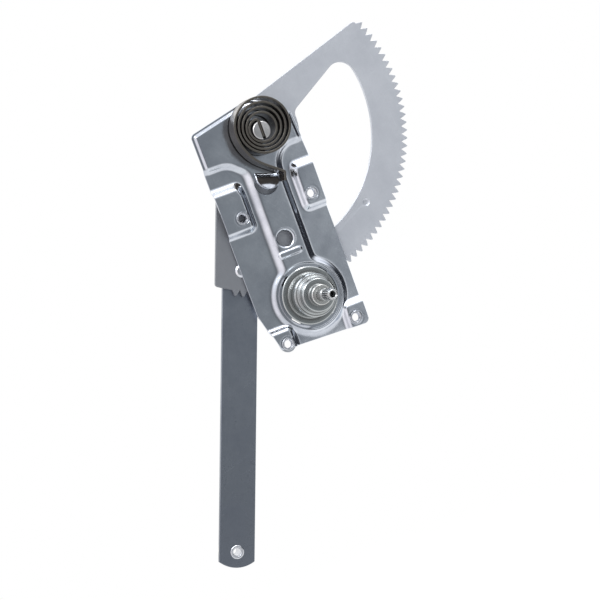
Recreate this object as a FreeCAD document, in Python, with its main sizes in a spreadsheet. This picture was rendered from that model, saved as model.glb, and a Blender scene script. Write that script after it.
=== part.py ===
import FreeCAD, Part
import math
import os

import Sketcher

# Window regulator: a stamped base plate that bolts inside a door, a toothed sector with its
# lift arm on a slotted pivot pin, a spiral counterbalance spring, and a crank brake whose
# pinion drives the sector.
# Frame: origin in the middle of the four fixing holes, on the front faces of their pads.
# +Z runs along the plate towards the sector pivot, -Y points out of the plate towards the
# crank handle, +X is to the right seen from there.

SIZES = [
    ("sheet", 2.0, "base plate thickness"),
    ("hole_span_x", 63.0, "fixing holes, across the plate"),
    ("hole_span_z", 110.0, "fixing holes, along the plate"),
    ("pad_rise", 4.5, "fixing pads above the low level of the plate"),
    ("plateau_rise", 3.5, "raised middle above the low level of the plate"),
    ("pad_taper", 40.0, "slope of the pad walls, degrees from upright"),
    ("plateau_taper", 52.0, "slope of the raised middle's walls, degrees from upright"),
    ("pad_inner", 21.0, "foot of the pads' inner walls from the middle line"),
    ("upper_pad_below", 14.0, "upper pads' foot below their holes"),
    ("upper_pad_above", 31.0, "upper pads' foot above their holes"),
    ("lower_pad_above", 16.0, "lower pads' foot above their holes"),
    ("stamp_over", 1.0, "foot of the raised middle beyond the trimmed edge"),
    ("blank_margin", 12.0, "blank beyond the trimmed edge"),
    ("plate_left", 47.0, "left edge of the plate from the middle line"),
    ("plate_right", 42.0, "right edge of the plate from the middle line"),
    ("bottom_margin", 6.0, "bottom edge below the lower holes, at the middle line"),
    ("bottom_slope", 2.2, "how far each bottom corner lies above or below the middle"),
    ("corner_cut", 9.0, "how far the lower left side leans in"),
    ("corner_cut_rise", 36.0, "length of the leaning lower left side"),
    ("left_corner_x", 48.5, "top left corner from the middle line"),
    ("left_corner_up", 15.3, "top left corner above the sector pivot"),
    ("right_corner_x", 39.5, "top right corner from the middle line"),
    ("right_corner_up", 6.3, "top right corner above the sector pivot"),
    ("right_bend_drop", 29.7, "where the right edge starts to lean in, below the sector pivot"),
    ("pivot_margin", 26.5, "plate material round the sector pivot"),
    ("apex_right_angle", 60.0, "right end of the rounded top, degrees"),
    ("apex_left_angle", 102.0, "left end of the rounded top, degrees"),
    ("top_slope", 14.0, "slope of the top edge at the left corner, degrees"),
    ("pad_corner", 6.0, "rounding of the pads' inner corners"),
    ("edge_round", 4.5, "rounding of the plate's corners"),
    ("shoulder_drop", 19.7, "where the raised middle narrows, below the sector pivot"),
    ("shoulder_round", 15.0, "radius of the shoulders"),
    ("neck_left", 19.5, "foot of the neck's left wall"),
    ("neck_right", 16.5, "foot of the neck's right wall"),
    ("boss_radius", 33.5, "foot of the round boss about the brake"),
    ("module", 2.1, "tooth module"),
    ("sector_count", 127.0, "teeth of the sector's full circle"),
    ("pinion_count", 8.0, "teeth of the pinion"),
    ("pressure_angle", 30.0, "pressure angle, degrees"),
    ("backlash", 0.12, "backlash at the pitch circle"),
    ("dedendum", 1.25, "tooth depth below the pitch circle, in modules"),
    ("teeth_before", 9.0, "sector teeth beyond the pinion on the arm's side"),
    ("teeth_after", 41.0, "sector teeth beyond the pinion on the other side"),
    ("pivot_side", 4.0, "sector pivot to the right of the middle line"),
    ("drum_drop", 24.0, "crank axis below the origin"),
    ("sector_gap", 2.0, "air between the plate's low level and the sector"),
    ("sector_thick", 3.5, "sector thickness"),
    ("sector_top_offset", 23.1, "straight upper edge from the pivot"),
    ("sector_left_offset", 30.5, "straight left edge from the pivot"),
    ("sector_top_angle", 17.0, "direction of the upper edge, degrees"),
    ("window_inner", 40.0, "inner radius of the sector's window"),
    ("window_outer", 104.0, "outer radius of the sector's window"),
    ("window_low_angle", 80.0, "lower end of the window, degrees below the right"),
    ("window_start_angle", 8.0, "upper end of the window's inner arc, degrees"),
    ("window_tip_angle", 21.6, "upper tip of the window, degrees"),
    ("window_round", 13.0, "rounding of the window's tip"),
    ("window_small_round", 7.0, "rounding of the window's other corners"),
    ("dimple_radius", 3.2, "pressed dimple on the sector's rim"),
    ("dimple_at", 113.0, "dimple from the pivot"),
    ("dimple_angle", 50.0, "dimple, degrees below the right"),
    ("dimple_depth", 1.2, "depth of the dimple"),
    ("arm_angle", 21.5, "arm away from straight down at rest, degrees"),
    ("arm_width", 30.0, "arm width"),
    ("arm_thick", 4.0, "arm thickness"),
    ("arm_offset", 8.4, "arm centre line to the left of the pivot"),
    ("arm_end_margin", 13.0, "end of the arm beyond the roller pin's middle"),
    ("arm_end_round", 25.0, "radius of the arm's end"),
    ("arm_flare", 62.0, "where the arm widens towards its head"),
    ("arm_head_angle", 20.0, "where the arm's round head starts, degrees"),
    ("roller_reach", 345.5, "roller pin from the pivot along the arm"),
    ("rivet_shank", 3.5, "radius of the rivets that join arm and sector"),
    ("rivet_head", 5.6, "radius of the rivet heads"),
    ("rivet_rise", 1.2, "height of the front rivet heads"),
    ("rivet_back_rise", 2.2, "height of the rear rivet heads"),
    ("rivet_first", 42.0, "first rivet from the pivot along the arm"),
    ("rivet_step", 36.0, "distance from rivet to rivet"),
    ("fit", 0.05, "radial clearance of running fits"),
    ("seat_gap", 0.3, "clearance between curved faces of different bodies"),
    ("nut_bore", 3.3, "radius of the clinch nuts' thread bore"),
    ("nut_pilot", 5.3, "radius of the nut collars in the pads"),
    ("nut_radius", 7.0, "radius of the nut bodies"),
    ("nut_depth", 4.3, "nut bodies behind the pads"),
    ("pin_radius", 7.6, "radius of the slotted pin's head"),
    ("pin_journal", 6.0, "radius of the pivot journal"),
    ("pin_front", 19.0, "front face of the slotted pin before the pads"),
    ("pin_slot", 2.6, "width of the slot"),
    ("pin_slot_depth", 18.0, "depth of the slot"),
    ("spring_strip", 1.9, "thickness of the counterbalance spring's strip"),
    ("spring_width", 16.5, "width of the spring strip"),
    ("spring_front", 18.0, "front edge of the spring strip before the pads"),
    ("spring_pitch", 3.55, "rise of the spring per turn"),
    ("spring_turns", 4.0, "whole turns of the wound spring"),
    ("spring_clear", 1.2, "air between the slotted pin and the spring's first turn"),
    ("spring_bend", 1.7, "bend where the strip enters the slot"),
    ("spring_drift", 0.45, "how far each turn sits further from the hook"),
    ("spring_tail_turn", 52.0, "last part of the coil before its tail, degrees"),
    ("spring_hook", 6.5, "hook's straight end beside the tongue"),
    ("tongue_width", 20.0, "width of the spring tongue and its window"),
    ("tongue_length", 18.5, "length of the window from which the tongue is lanced"),
    ("tongue_shear", 0.3, "air round the tongue where it is lanced"),
    ("tongue_lean", 56.0, "how far the tongue is bent out of the plate, degrees"),
    ("tongue_x", 0.0, "middle of the tongue's bend line"),
    ("tongue_drop", 35.2, "tongue's bend line below the sector pivot"),
    ("tongue_tilt", 18.0, "tilt of the tongue, degrees"),
    ("peep_radius", 6.6, "hole in the neck"),
    ("peep_rim", 1.6, "rolled rim of that hole"),
    ("peep_x", -3.0, "middle of that hole across the plate"),
    ("peep_z", 27.5, "middle of that hole along the plate"),
    ("bar_length", 21.0, "embossed bar below the hole"),
    ("bar_width", 5.0, "embossed bar, width"),
    ("bar_rise", 0.8, "embossed bar, height"),
    ("bar_z", 15.0, "middle of the embossed bar"),
    ("housing_sheet", 1.6, "thickness of the brake housing"),
    ("housing_flange", 24.2, "radius of the housing's flange"),
    ("drum_bore", 16.5, "bore in which the brake spring grips"),
    ("drum_depth", 16.6, "depth of that bore before the flange"),
    ("dome_radius", 13.4, "radius of the housing's flat nose"),
    ("dome_front", 25.0, "front of the flat nose before the pads"),
    ("collar_radius", 8.4, "radius of the housing's collar"),
    ("collar_front", 32.0, "front of the collar before the pads"),
    ("tab_angle", 41.0, "first tab from the right, degrees"),
    ("tab_count", 4.0, "tabs round the housing"),
    ("tab_width", 8.0, "width of the housing's tabs"),
    ("tab_grip", 1.3, "how far the tabs reach behind the plate"),
    ("bush_wall", 1.1, "wall of the crank shaft's bush"),
    ("shaft_radius", 5.1, "radius of the crank shaft"),
    ("shaft_front", 63.0, "front end of the crank shaft before the pads"),
    ("shaft_tip_radius", 3.9, "radius of the shaft's front end"),
    ("shaft_tip_length", 3.6, "length of the shaft's tapered tip"),
    ("spline_length", 15.0, "length of the splines"),
    ("spline_runout", 1.5, "plain shaft between the splines and the groove behind them"),
    ("shaft_groove", 2.0, "width of that groove"),
    ("spline_count", 20.0, "number of splines"),
    ("spline_depth", 0.55, "depth of the splines"),
    ("shaft_thread_bore", 2.5, "radius of the tapped hole in the shaft"),
    ("shaft_thread_depth", 14.0, "depth of the tapped hole"),
    ("spindle_radius", 3.5, "radius of the spindle that carries the pinion"),
    ("driver_radius", 11.6, "radius of the two drivers"),
    ("driver_disc", 4.0, "thickness of the drivers' discs"),
    ("lug_inner", 6.8, "inner radius of the drivers' lugs"),
    ("lug_angle", 120.0, "span of each driver's lug, degrees"),
    ("neck_radius", 6.5, "radius of the output driver's neck"),
    ("plate_bush_wall", 2.0, "wall of the bush in the plate"),
    ("wire", 2.4, "side of the brake spring's square wire"),
    ("wire_pitch", 2.9, "rise of the brake spring per turn"),
    ("wire_turns", 2.5, "turns of the brake spring"),
    ("guide_radius", 13.5, "radius of the washer that guides the sector"),
    ("guide_thick", 1.3, "thickness of that washer"),
    ("roller_radius", 13.0, "radius of the roller"),
    ("roller_width", 9.0, "width of the roller"),
    ("roller_groove", 1.6, "depth of the roller's groove"),
    ("roller_pin_radius", 5.0, "radius of the roller pin"),
    ("roller_pin_bore", 3.4, "radius of the hole through the roller pin"),
    ("roller_pin_head", 5.7, "radius of the roller pin's turned-over front"),
    ("roller_pin_collar", 7.1, "radius of its collar behind the arm"),
    ("roller_clip_radius", 7.4, "outer radius of the roller's retaining ring"),
    ("clip_thick", 1.2, "thickness of the small retaining rings"),
]

doc = FreeCAD.newDocument("window_regulator")
sheet_object = doc.addObject("Spreadsheet::Sheet", "Sizes")


class Dim:
    """A size that carries its number and its formula in the sheet."""

    def __init__(self, value, text):
        self.value = value
        self.text = text

    def _with(self, other, sign, value):
        return Dim(value, "(" + self.text + " " + sign + " " + as_dim(other).text + ")")

    def __add__(self, other):
        return self._with(other, "+", self.value + as_dim(other).value)

    def __radd__(self, other):
        return as_dim(other) + self

    def __sub__(self, other):
        return self._with(other, "-", self.value - as_dim(other).value)

    def __rsub__(self, other):
        return as_dim(other) - self

    def __mul__(self, other):
        return self._with(other, "*", self.value * as_dim(other).value)

    def __rmul__(self, other):
        return as_dim(other) * self

    def __truediv__(self, other):
        return self._with(other, "/", self.value / as_dim(other).value)

    def __rtruediv__(self, other):
        return as_dim(other) / self

    def __neg__(self):
        return Dim(-self.value, "(-1 * " + self.text + ")")


def as_dim(thing):
    """A plain number as a size without a cell."""
    if isinstance(thing, Dim):
        return thing
    return Dim(float(thing), "(" + repr(float(thing)) + ")")


def root(dim):
    return Dim(math.sqrt(dim.value), "sqrt(" + dim.text + ")")


def cosine(dim):
    return Dim(math.cos(math.radians(dim.value)), "cos(" + dim.text + ")")


def sine(dim):
    return Dim(math.sin(math.radians(dim.value)), "sin(" + dim.text + ")")


def tangent(dim):
    return Dim(math.tan(math.radians(dim.value)), "tan(" + dim.text + ")")


class Sizes:
    """Every driving size by name."""


def fill_sheet():
    """Write the driving sizes into the sheet and give each its name."""
    named = Sizes()
    for row, (alias, value, meaning) in enumerate(SIZES, start=1):
        sheet_object.set("A%d" % row, meaning)
        sheet_object.set("B%d" % row, repr(value))
        sheet_object.setAlias("B%d" % row, alias)
        setattr(named, alias, Dim(value, "Sizes." + alias))
    doc.recompute()
    return named


S = fill_sheet()

# Places that several pieces share
LOW_FRONT = S.pad_rise
LOW_BACK = S.pad_rise + S.sheet
PLATEAU_FRONT = S.pad_rise - S.plateau_rise
PLATEAU_BACK = PLATEAU_FRONT + S.sheet
SECTOR_FRONT = LOW_BACK + S.sector_gap
SECTOR_BACK = SECTOR_FRONT + S.sector_thick
ARM_BACK = SECTOR_BACK + S.arm_thick
CENTRES = S.module * (S.sector_count + S.pinion_count) / 2
PIVOT_X = S.pivot_side
PIVOT_Z = root(CENTRES * CENTRES - S.pivot_side * S.pivot_side) - S.drum_drop
DRUM_X = as_dim(0)
DRUM_Z = -S.drum_drop
HOUSING_BASE = PLATEAU_FRONT
PLATE_BUSH_OUTER = S.neck_radius + S.fit + S.plate_bush_wall
PLATE_BOTTOM = S.hole_span_z / 2 + S.bottom_margin
SHOULDER_Z = PIVOT_Z - S.shoulder_drop
TONGUE_Z = PIVOT_Z - S.tongue_drop
TAB_OUTER = S.housing_flange
TAB_INNER = S.housing_flange - S.housing_sheet
SPRING_BACK = -(S.spring_front - S.spring_width)

# An arc that spans nearly a half turn has this radius over half its chord
NEARLY_HALF_TURN = 1.02
# Corner arcs of edges that meet at a little more or less than a right angle
CORNER_ARC = 1.05

nodes = []


def plane_of(body, role):
    for feature in body.Origin.OriginFeatures:
        if feature.Role == role:
            return feature
    raise ValueError(role)


def start_body(label):
    body = doc.addObject("PartDesign::Body", label)
    body.Label = label
    nodes.append(body)
    return body


def place(thing, x, z):
    """Set a piece's origin at a place in the plate's plane."""
    thing.setExpression("Placement.Base.x", as_dim(x).text)
    thing.setExpression("Placement.Base.z", as_dim(z).text)


def start_sketch(body, name, role, lift=None):
    """A sketch on one of the body's own planes, lifted along its normal."""
    sketch = body.newObject("Sketcher::SketchObject", name)
    sketch.AttachmentSupport = [(plane_of(body, role), "")]
    sketch.MapMode = "FlatFace"
    if lift is not None:
        sketch.setExpression(".AttachmentOffset.Base.z", lift.text)
    return sketch


def bind_constraint(sketch, index, dim):
    sketch.setExpression("Constraints[%d]" % index, dim.text)


def pin_point(sketch, geometry, position, x, y):
    """Hold one point of a sketch at its two distances from the origin."""
    for kind, dim in (("DistanceX", x), ("DistanceY", y)):
        dim = as_dim(dim)
        constraint = Sketcher.Constraint(kind, -1, 1, geometry, position, dim.value)
        bind_constraint(sketch, sketch.addConstraint(constraint), dim)


def draw_outline(sketch, corners):
    """A closed outline. Each corner is (x, y) or (x, y, radius, side): the edge that starts
    there is an arc of that radius, with its centre on the left (side 1) or right (-1)."""
    first = sketch.GeometryCount
    count = len(corners)
    for index in range(count):
        corner = corners[index]
        after = corners[(index + 1) % count]
        start = FreeCAD.Vector(as_dim(corner[0]).value, as_dim(corner[1]).value, 0)
        end = FreeCAD.Vector(as_dim(after[0]).value, as_dim(after[1]).value, 0)
        if len(corner) == 2:
            sketch.addGeometry(Part.LineSegment(start, end), False)
            continue
        radius = as_dim(corner[2])
        chord = end - start
        half = chord.Length / 2
        left = FreeCAD.Vector(-chord.y, chord.x, 0)
        left.normalize()
        back = math.sqrt(max(radius.value ** 2 - half ** 2, 0.0))
        centre = (start + end) * 0.5 + left * (back * corner[3])
        middle = centre - left * (radius.value * corner[3])
        ends = (start, end) if corner[3] > 0 else (end, start)
        sketch.addGeometry(Part.Arc(ends[0], middle, ends[1]), False)
    for index in range(count):
        geometry = first + index
        after = first + (index + 1) % count
        starts = start_position(sketch, geometry, corners[index])
        ends = 3 - starts
        next_start = start_position(sketch, after, corners[(index + 1) % count])
        sketch.addConstraint(Sketcher.Constraint("Coincident", geometry, ends, after, next_start))
        pin_point(sketch, geometry, starts, corners[index][0], corners[index][1])
        if len(corners[index]) > 2:
            radius = as_dim(corners[index][2])
            number = sketch.addConstraint(Sketcher.Constraint("Radius", geometry, radius.value))
            bind_constraint(sketch, number, radius)


def start_position(sketch, geometry, corner):
    """Which end of an edge lies on its corner: an arc may have been turned round."""
    point = FreeCAD.Vector(as_dim(corner[0]).value, as_dim(corner[1]).value, 0)
    begin = sketch.Geometry[geometry].StartPoint
    finish = sketch.Geometry[geometry].EndPoint
    return 1 if (begin - point).Length <= (finish - point).Length else 2


def draw_circle(sketch, x, y, radius):
    x = as_dim(x)
    y = as_dim(y)
    radius = as_dim(radius)
    circle = Part.Circle(FreeCAD.Vector(x.value, y.value, 0), FreeCAD.Vector(0, 0, 1), radius.value)
    geometry = sketch.addGeometry(circle, False)
    number = sketch.addConstraint(Sketcher.Constraint("Radius", geometry, radius.value))
    bind_constraint(sketch, number, radius)
    pin_point(sketch, geometry, 3, x, y)


def pad(body, name, sketch, length, taper=None, reverse=False):
    feature = body.newObject("PartDesign::Pad", name)
    feature.Profile = sketch
    feature.setExpression("Length", as_dim(length).text)
    feature.Reversed = reverse
    if taper is not None:
        feature.setExpression("TaperAngle", (-taper).text)
    doc.recompute()
    return feature


def pocket(body, name, sketch, length=None, taper=None, reverse=False):
    """A cut from a sketch, checked to take material away."""
    before = body.Shape.Volume
    feature = body.newObject("PartDesign::Pocket", name)
    feature.Profile = sketch
    feature.Reversed = reverse
    if length is None:
        feature.Type = "ThroughAll"
        feature.Midplane = True
    else:
        feature.setExpression("Length", as_dim(length).text)
    if taper is not None:
        feature.setExpression("TaperAngle", (-taper).text)
    doc.recompute()
    if body.Shape.Volume > before - 1e-3:
        raise ValueError("%s cuts nothing in %s" % (name, body.Label))
    return feature


def turned(label, corners, x, z):
    """A turned piece: corners are (radius, y) pairs about an axis along Y."""
    body = start_body(label)
    sketch = start_sketch(body, label + "_profile", "XY_Plane")
    draw_outline(sketch, corners)
    feature = body.newObject("PartDesign::Revolution", label + "_turn")
    feature.Profile = sketch
    feature.ReferenceAxis = (sketch, ["V_Axis"])
    feature.Angle = 360
    doc.recompute()
    place(body, x, z)
    doc.recompute()
    return body


def ring(label, inner, outer, front, back, x, z):
    """A plain washer or sleeve between two places along Y."""
    return turned(label, [(inner, front), (outer, front), (outer, back), (inner, back)], x, z)


def polar_pattern(body, name, features, count, sketch):
    """Copies round the body's own Y axis."""
    pattern = body.newObject("PartDesign::PolarPattern", name)
    pattern.Originals = features
    pattern.Axis = (sketch, ["V_Axis"])
    pattern.Angle = 360
    pattern.setExpression("Occurrences", as_dim(count).text)
    body.Tip = pattern
    doc.recompute()
    return pattern


def coded_piece(label, shape, x, z):
    """A piece whose outline follows a formula, made from the same sizes."""
    feature = doc.addObject("Part::Feature", label)
    feature.Label = label
    feature.Shape = shape
    place(feature, x, z)
    nodes.append(feature)
    doc.recompute()
    return feature


def at(radius, degrees, y=0.0):
    """A point in the plate's plane, counted anticlockwise from the right."""
    turn = math.radians(degrees)
    return FreeCAD.Vector(radius * math.cos(turn), y, radius * math.sin(turn))


def plate_outline(over):
    """The plate's trimmed edge, or the foot of the raised middle a little outside it."""
    margin = S.pivot_margin + over
    bottom_left = -(S.plate_left - S.corner_cut) - over
    left_low = -(PLATE_BOTTOM - S.bottom_slope)
    right_low = -(PLATE_BOTTOM + S.bottom_slope)
    rise = S.edge_round * tangent(S.top_slope)
    left_high = PIVOT_Z + S.left_corner_up + over
    return [
        (bottom_left + S.edge_round, left_low),
        (S.plate_right + over - S.edge_round, right_low, S.edge_round * CORNER_ARC, 1),
        (S.plate_right + over, right_low + S.edge_round),
        (S.plate_right + over, PIVOT_Z - S.right_bend_drop),
        (S.right_corner_x + over, PIVOT_Z + S.right_corner_up + over),
        (PIVOT_X + margin * cosine(S.apex_right_angle),
         PIVOT_Z + margin * sine(S.apex_right_angle), margin, 1),
        (PIVOT_X + margin * cosine(S.apex_left_angle),
         PIVOT_Z + margin * sine(S.apex_left_angle)),
        (-S.left_corner_x - over + S.edge_round, left_high + rise, S.edge_round * CORNER_ARC, 1),
        (-S.left_corner_x - over, left_high - S.edge_round),
        (-S.plate_left - over, -(PLATE_BOTTOM - S.corner_cut_rise)),
        (bottom_left, left_low + S.edge_round, S.edge_round * CORNER_ARC, 1),
    ]


def plateau_outline():
    """The raised middle: a full-width head about the pivot, a neck and a round boss."""
    top = plate_outline(S.stamp_over)
    neck_low = root(S.boss_radius * S.boss_radius - S.neck_right * S.neck_right) - S.drum_drop
    neck_low_left = root(S.boss_radius * S.boss_radius - S.neck_left * S.neck_left) - S.drum_drop
    bend = SHOULDER_Z - S.shoulder_round
    return [
        (S.neck_right, neck_low),
        (S.neck_right, bend, S.shoulder_round, -1),
        (S.neck_right + S.shoulder_round, SHOULDER_Z),
        (S.plate_right + S.stamp_over, SHOULDER_Z),
        top[4],
        top[5],
        top[6],
        top[7],
        top[8],
        (-S.left_corner_x - S.stamp_over, SHOULDER_Z),
        (-S.neck_left - S.shoulder_round, SHOULDER_Z, S.shoulder_round, -1),
        (-S.neck_left, bend),
        (-S.neck_left, neck_low_left, S.boss_radius, 1),
        (as_dim(0), -S.drum_drop - S.boss_radius, S.boss_radius, 1),
    ]


def pad_outline(side, low, high):
    """One fixing pad's foot: it runs off the plate on its outer side. side is 1 or -1."""
    outer = (S.plate_left + S.blank_margin * 0.5) * side
    inner = S.pad_inner * side
    corner = S.pad_corner
    edge = inner + corner * side
    if side > 0:
        return [(edge, low), (outer, low), (outer, high), (edge, high, corner, 1),
                (inner, high - corner), (inner, low + corner, corner, 1)]
    return [(outer, low), (edge, low, corner, 1), (inner, low + corner),
            (inner, high - corner, corner, 1), (edge, high), (outer, high)]


def stamp(body, name, corners, rise, taper):
    """Raise an area towards the front and hollow it by as much from behind."""
    front = start_sketch(body, name + "_front", "XZ_Plane", -LOW_FRONT)
    draw_outline(front, corners)
    pad(body, name, front, rise, taper)
    rear = start_sketch(body, name + "_rear", "XZ_Plane", -LOW_BACK)
    draw_outline(rear, corners)
    pocket(body, name + "_hollow", rear, rise, taper, reverse=True)


def tab_corners(x, z, angle, inner, outer, width):
    """A rectangle across a radius, at an angle about (x, z)."""
    along = (cosine(angle), sine(angle))
    half = width / 2
    corners = []
    for radius, side in ((inner, -1), (outer, -1), (outer, 1), (inner, 1)):
        across_x = -along[1] * half * side
        across_z = along[0] * half * side
        corners.append((x + along[0] * radius + across_x, z + along[1] * radius + across_z))
    return corners


def base_plate():
    """The stamped plate: blanked, raised by its dies, pierced, lanced and trimmed."""
    body = start_body("base_plate")
    blank = start_sketch(body, "blank_outline", "XZ_Plane", -LOW_BACK)
    left = -S.left_corner_x - S.blank_margin
    right = S.plate_right + S.blank_margin
    low = -PLATE_BOTTOM - S.blank_margin
    high = PIVOT_Z + S.pivot_margin + S.blank_margin
    draw_outline(blank, [(left, low), (right, low), (right, high), (left, high)])
    pad(body, "blank", blank, S.sheet)
    stamp(body, "plateau", plateau_outline(), S.plateau_rise, S.plateau_taper)
    hole_z = S.hole_span_z / 2
    lowest = -PLATE_BOTTOM - S.blank_margin * 0.5
    for side, where in ((-1, "left"), (1, "right")):
        upper = pad_outline(side, hole_z - S.upper_pad_below, hole_z + S.upper_pad_above)
        stamp(body, "upper_pad_" + where, upper, S.pad_rise, S.pad_taper)
        lower = pad_outline(side, lowest, S.lower_pad_above - hole_z)
        stamp(body, "lower_pad_" + where, lower, S.pad_rise, S.pad_taper)

    trim = start_sketch(body, "trim_outline", "XZ_Plane")
    draw_outline(trim, plate_outline(as_dim(0)))
    more = as_dim(5)
    draw_outline(trim, [(left - more, low - more), (right + more, low - more),
                        (right + more, high + more), (left - more, high + more)])
    pocket(body, "trim", trim)

    holes = start_sketch(body, "hole_places", "XZ_Plane")
    for side_x in (-1, 1):
        for side_z in (-1, 1):
            draw_circle(holes, S.hole_span_x * side_x / 2, S.hole_span_z * side_z / 2, S.nut_pilot + S.fit)
    draw_circle(holes, DRUM_X, DRUM_Z, PLATE_BUSH_OUTER + S.fit)
    draw_circle(holes, PIVOT_X, PIVOT_Z, PIVOT_SLEEVE + S.fit)
    draw_circle(holes, S.peep_x, S.peep_z, S.peep_radius)
    for index in range(int(S.tab_count.value)):
        angle = S.tab_angle + 360 / S.tab_count * index
        draw_outline(holes, tab_corners(DRUM_X, DRUM_Z, angle, TAB_INNER - S.fit * 2,
                                        TAB_OUTER + S.fit * 8, S.tab_width + S.fit * 8))
    pocket(body, "holes", holes)

    rim = start_sketch(body, "peep_rim_outline", "XZ_Plane", -(PLATEAU_BACK + S.peep_rim))
    draw_circle(rim, S.peep_x, S.peep_z, S.peep_radius)
    draw_circle(rim, S.peep_x, S.peep_z, S.peep_radius + S.peep_rim)
    pad(body, "peep_rim", rim, S.peep_rim + S.sheet / 2)

    bar = start_sketch(body, "bar_outline", "XZ_Plane", -(PLATEAU_FRONT + S.sheet / 2))
    half_length = (S.bar_length - S.bar_width) / 2
    half_width = S.bar_width / 2
    low_bar = S.bar_z - half_width
    high_bar = S.bar_z + half_width
    bulge = half_width * NEARLY_HALF_TURN
    draw_outline(bar, [(S.peep_x - half_length, low_bar), (S.peep_x + half_length, low_bar, bulge, 1),
                       (S.peep_x + half_length, high_bar), (S.peep_x - half_length, high_bar, bulge, 1)])
    pad(body, "bar", bar, S.bar_rise + S.sheet / 2)

    window = start_sketch(body, "tongue_window", "XZ_Plane")
    half = S.tongue_width / 2
    straight = S.tongue_length - half
    across = (cosine(S.tongue_tilt), -sine(S.tongue_tilt))
    down = (-sine(S.tongue_tilt), -cosine(S.tongue_tilt))
    right_root = (S.tongue_x + half * across[0], TONGUE_Z + half * across[1])
    left_root = (S.tongue_x - half * across[0], TONGUE_Z - half * across[1])
    draw_outline(window, [
        right_root,
        left_root,
        (left_root[0] + straight * down[0], left_root[1] + straight * down[1],
         half * NEARLY_HALF_TURN, 1),
        (right_root[0] + straight * down[0], right_root[1] + straight * down[1]),
    ])
    pocket(body, "tongue_opening", window)

    tongue = start_sketch(body, "tongue_outline", "XY_Plane")
    tongue.setExpression("AttachmentOffset", "create(<<placement>>; create(<<vector>>; %s; %s; %s); "
                         "create(<<rotation>>; 0; %s; 90 - %s))" % (
                             S.tongue_x.text, PLATEAU_FRONT.text, TONGUE_Z.text,
                             S.tongue_tilt.text, S.tongue_lean.text))
    half = half - S.tongue_shear
    root_end = S.sheet / 2
    draw_outline(tongue, [(half, root_end), (-half, root_end),
                          (-half, -straight, half * NEARLY_HALF_TURN, 1), (half, -straight)])
    pad(body, "tongue", tongue, S.sheet, reverse=True)
    return body


def clinch_nuts():
    """Four nuts pressed into the pads from behind, their collars filling the holes."""
    proto = doc.addObject("PartDesign::Body", "clinch_nut")
    sketch = start_sketch(proto, "clinch_nut_profile", "XY_Plane")
    draw_outline(sketch, [
        (S.nut_bore, S.seat_gap),
        (S.nut_pilot - S.seat_gap, S.seat_gap),
        (S.nut_pilot, S.seat_gap * 2),
        (S.nut_pilot, S.sheet),
        (S.nut_radius, S.sheet),
        (S.nut_radius, S.sheet + S.nut_depth - S.seat_gap * 3),
        (S.nut_radius - S.seat_gap * 3, S.sheet + S.nut_depth),
        (S.nut_bore, S.sheet + S.nut_depth),
    ])
    feature = proto.newObject("PartDesign::Revolution", "clinch_nut_turn")
    feature.Profile = sketch
    feature.ReferenceAxis = (sketch, ["V_Axis"])
    feature.Angle = 360
    doc.recompute()
    copies = []
    for side_x in (-1, 1):
        for side_z in (-1, 1):
            copy = proto.Shape.copy()
            copy.translate(FreeCAD.Vector(S.hole_span_x.value * side_x / 2, 0,
                                          S.hole_span_z.value * side_z / 2))
            copies.append(copy)
    return coded_piece("clinch_nuts", Part.makeCompound(copies), 0, 0)


# Places of the pivot's pieces along Y
PIVOT_SLEEVE = S.pin_journal + S.fit + S.plate_bush_wall
PIVOT_SHOULDER = -S.seat_gap * 2
PIVOT_FLANGE_BACK = SECTOR_FRONT - S.seat_gap / 3

# Places of the brake's pieces along Y
DRUM_FRONT = HOUSING_BASE - S.drum_depth
NOSE_INNER = -(S.dome_front - S.housing_sheet)
DRIVER_BACK = DRUM_FRONT - S.seat_gap
DRIVER_FRONT = DRIVER_BACK - S.driver_disc
OUTPUT_BACK = PLATEAU_FRONT - S.seat_gap
OUTPUT_FRONT = OUTPUT_BACK - S.driver_disc
PINION_FRONT = SECTOR_FRONT - S.seat_gap
PINION_BACK = SECTOR_BACK - S.seat_gap
GUIDE_FRONT = PINION_FRONT - S.guide_thick
BUSH_FLANGE_BACK = GUIDE_FRONT - S.seat_gap / 2
CLIP_RADIUS = S.spindle_radius + S.clip_thick
RECESS_FLOOR = PINION_BACK - S.clip_thick - S.seat_gap


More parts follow.
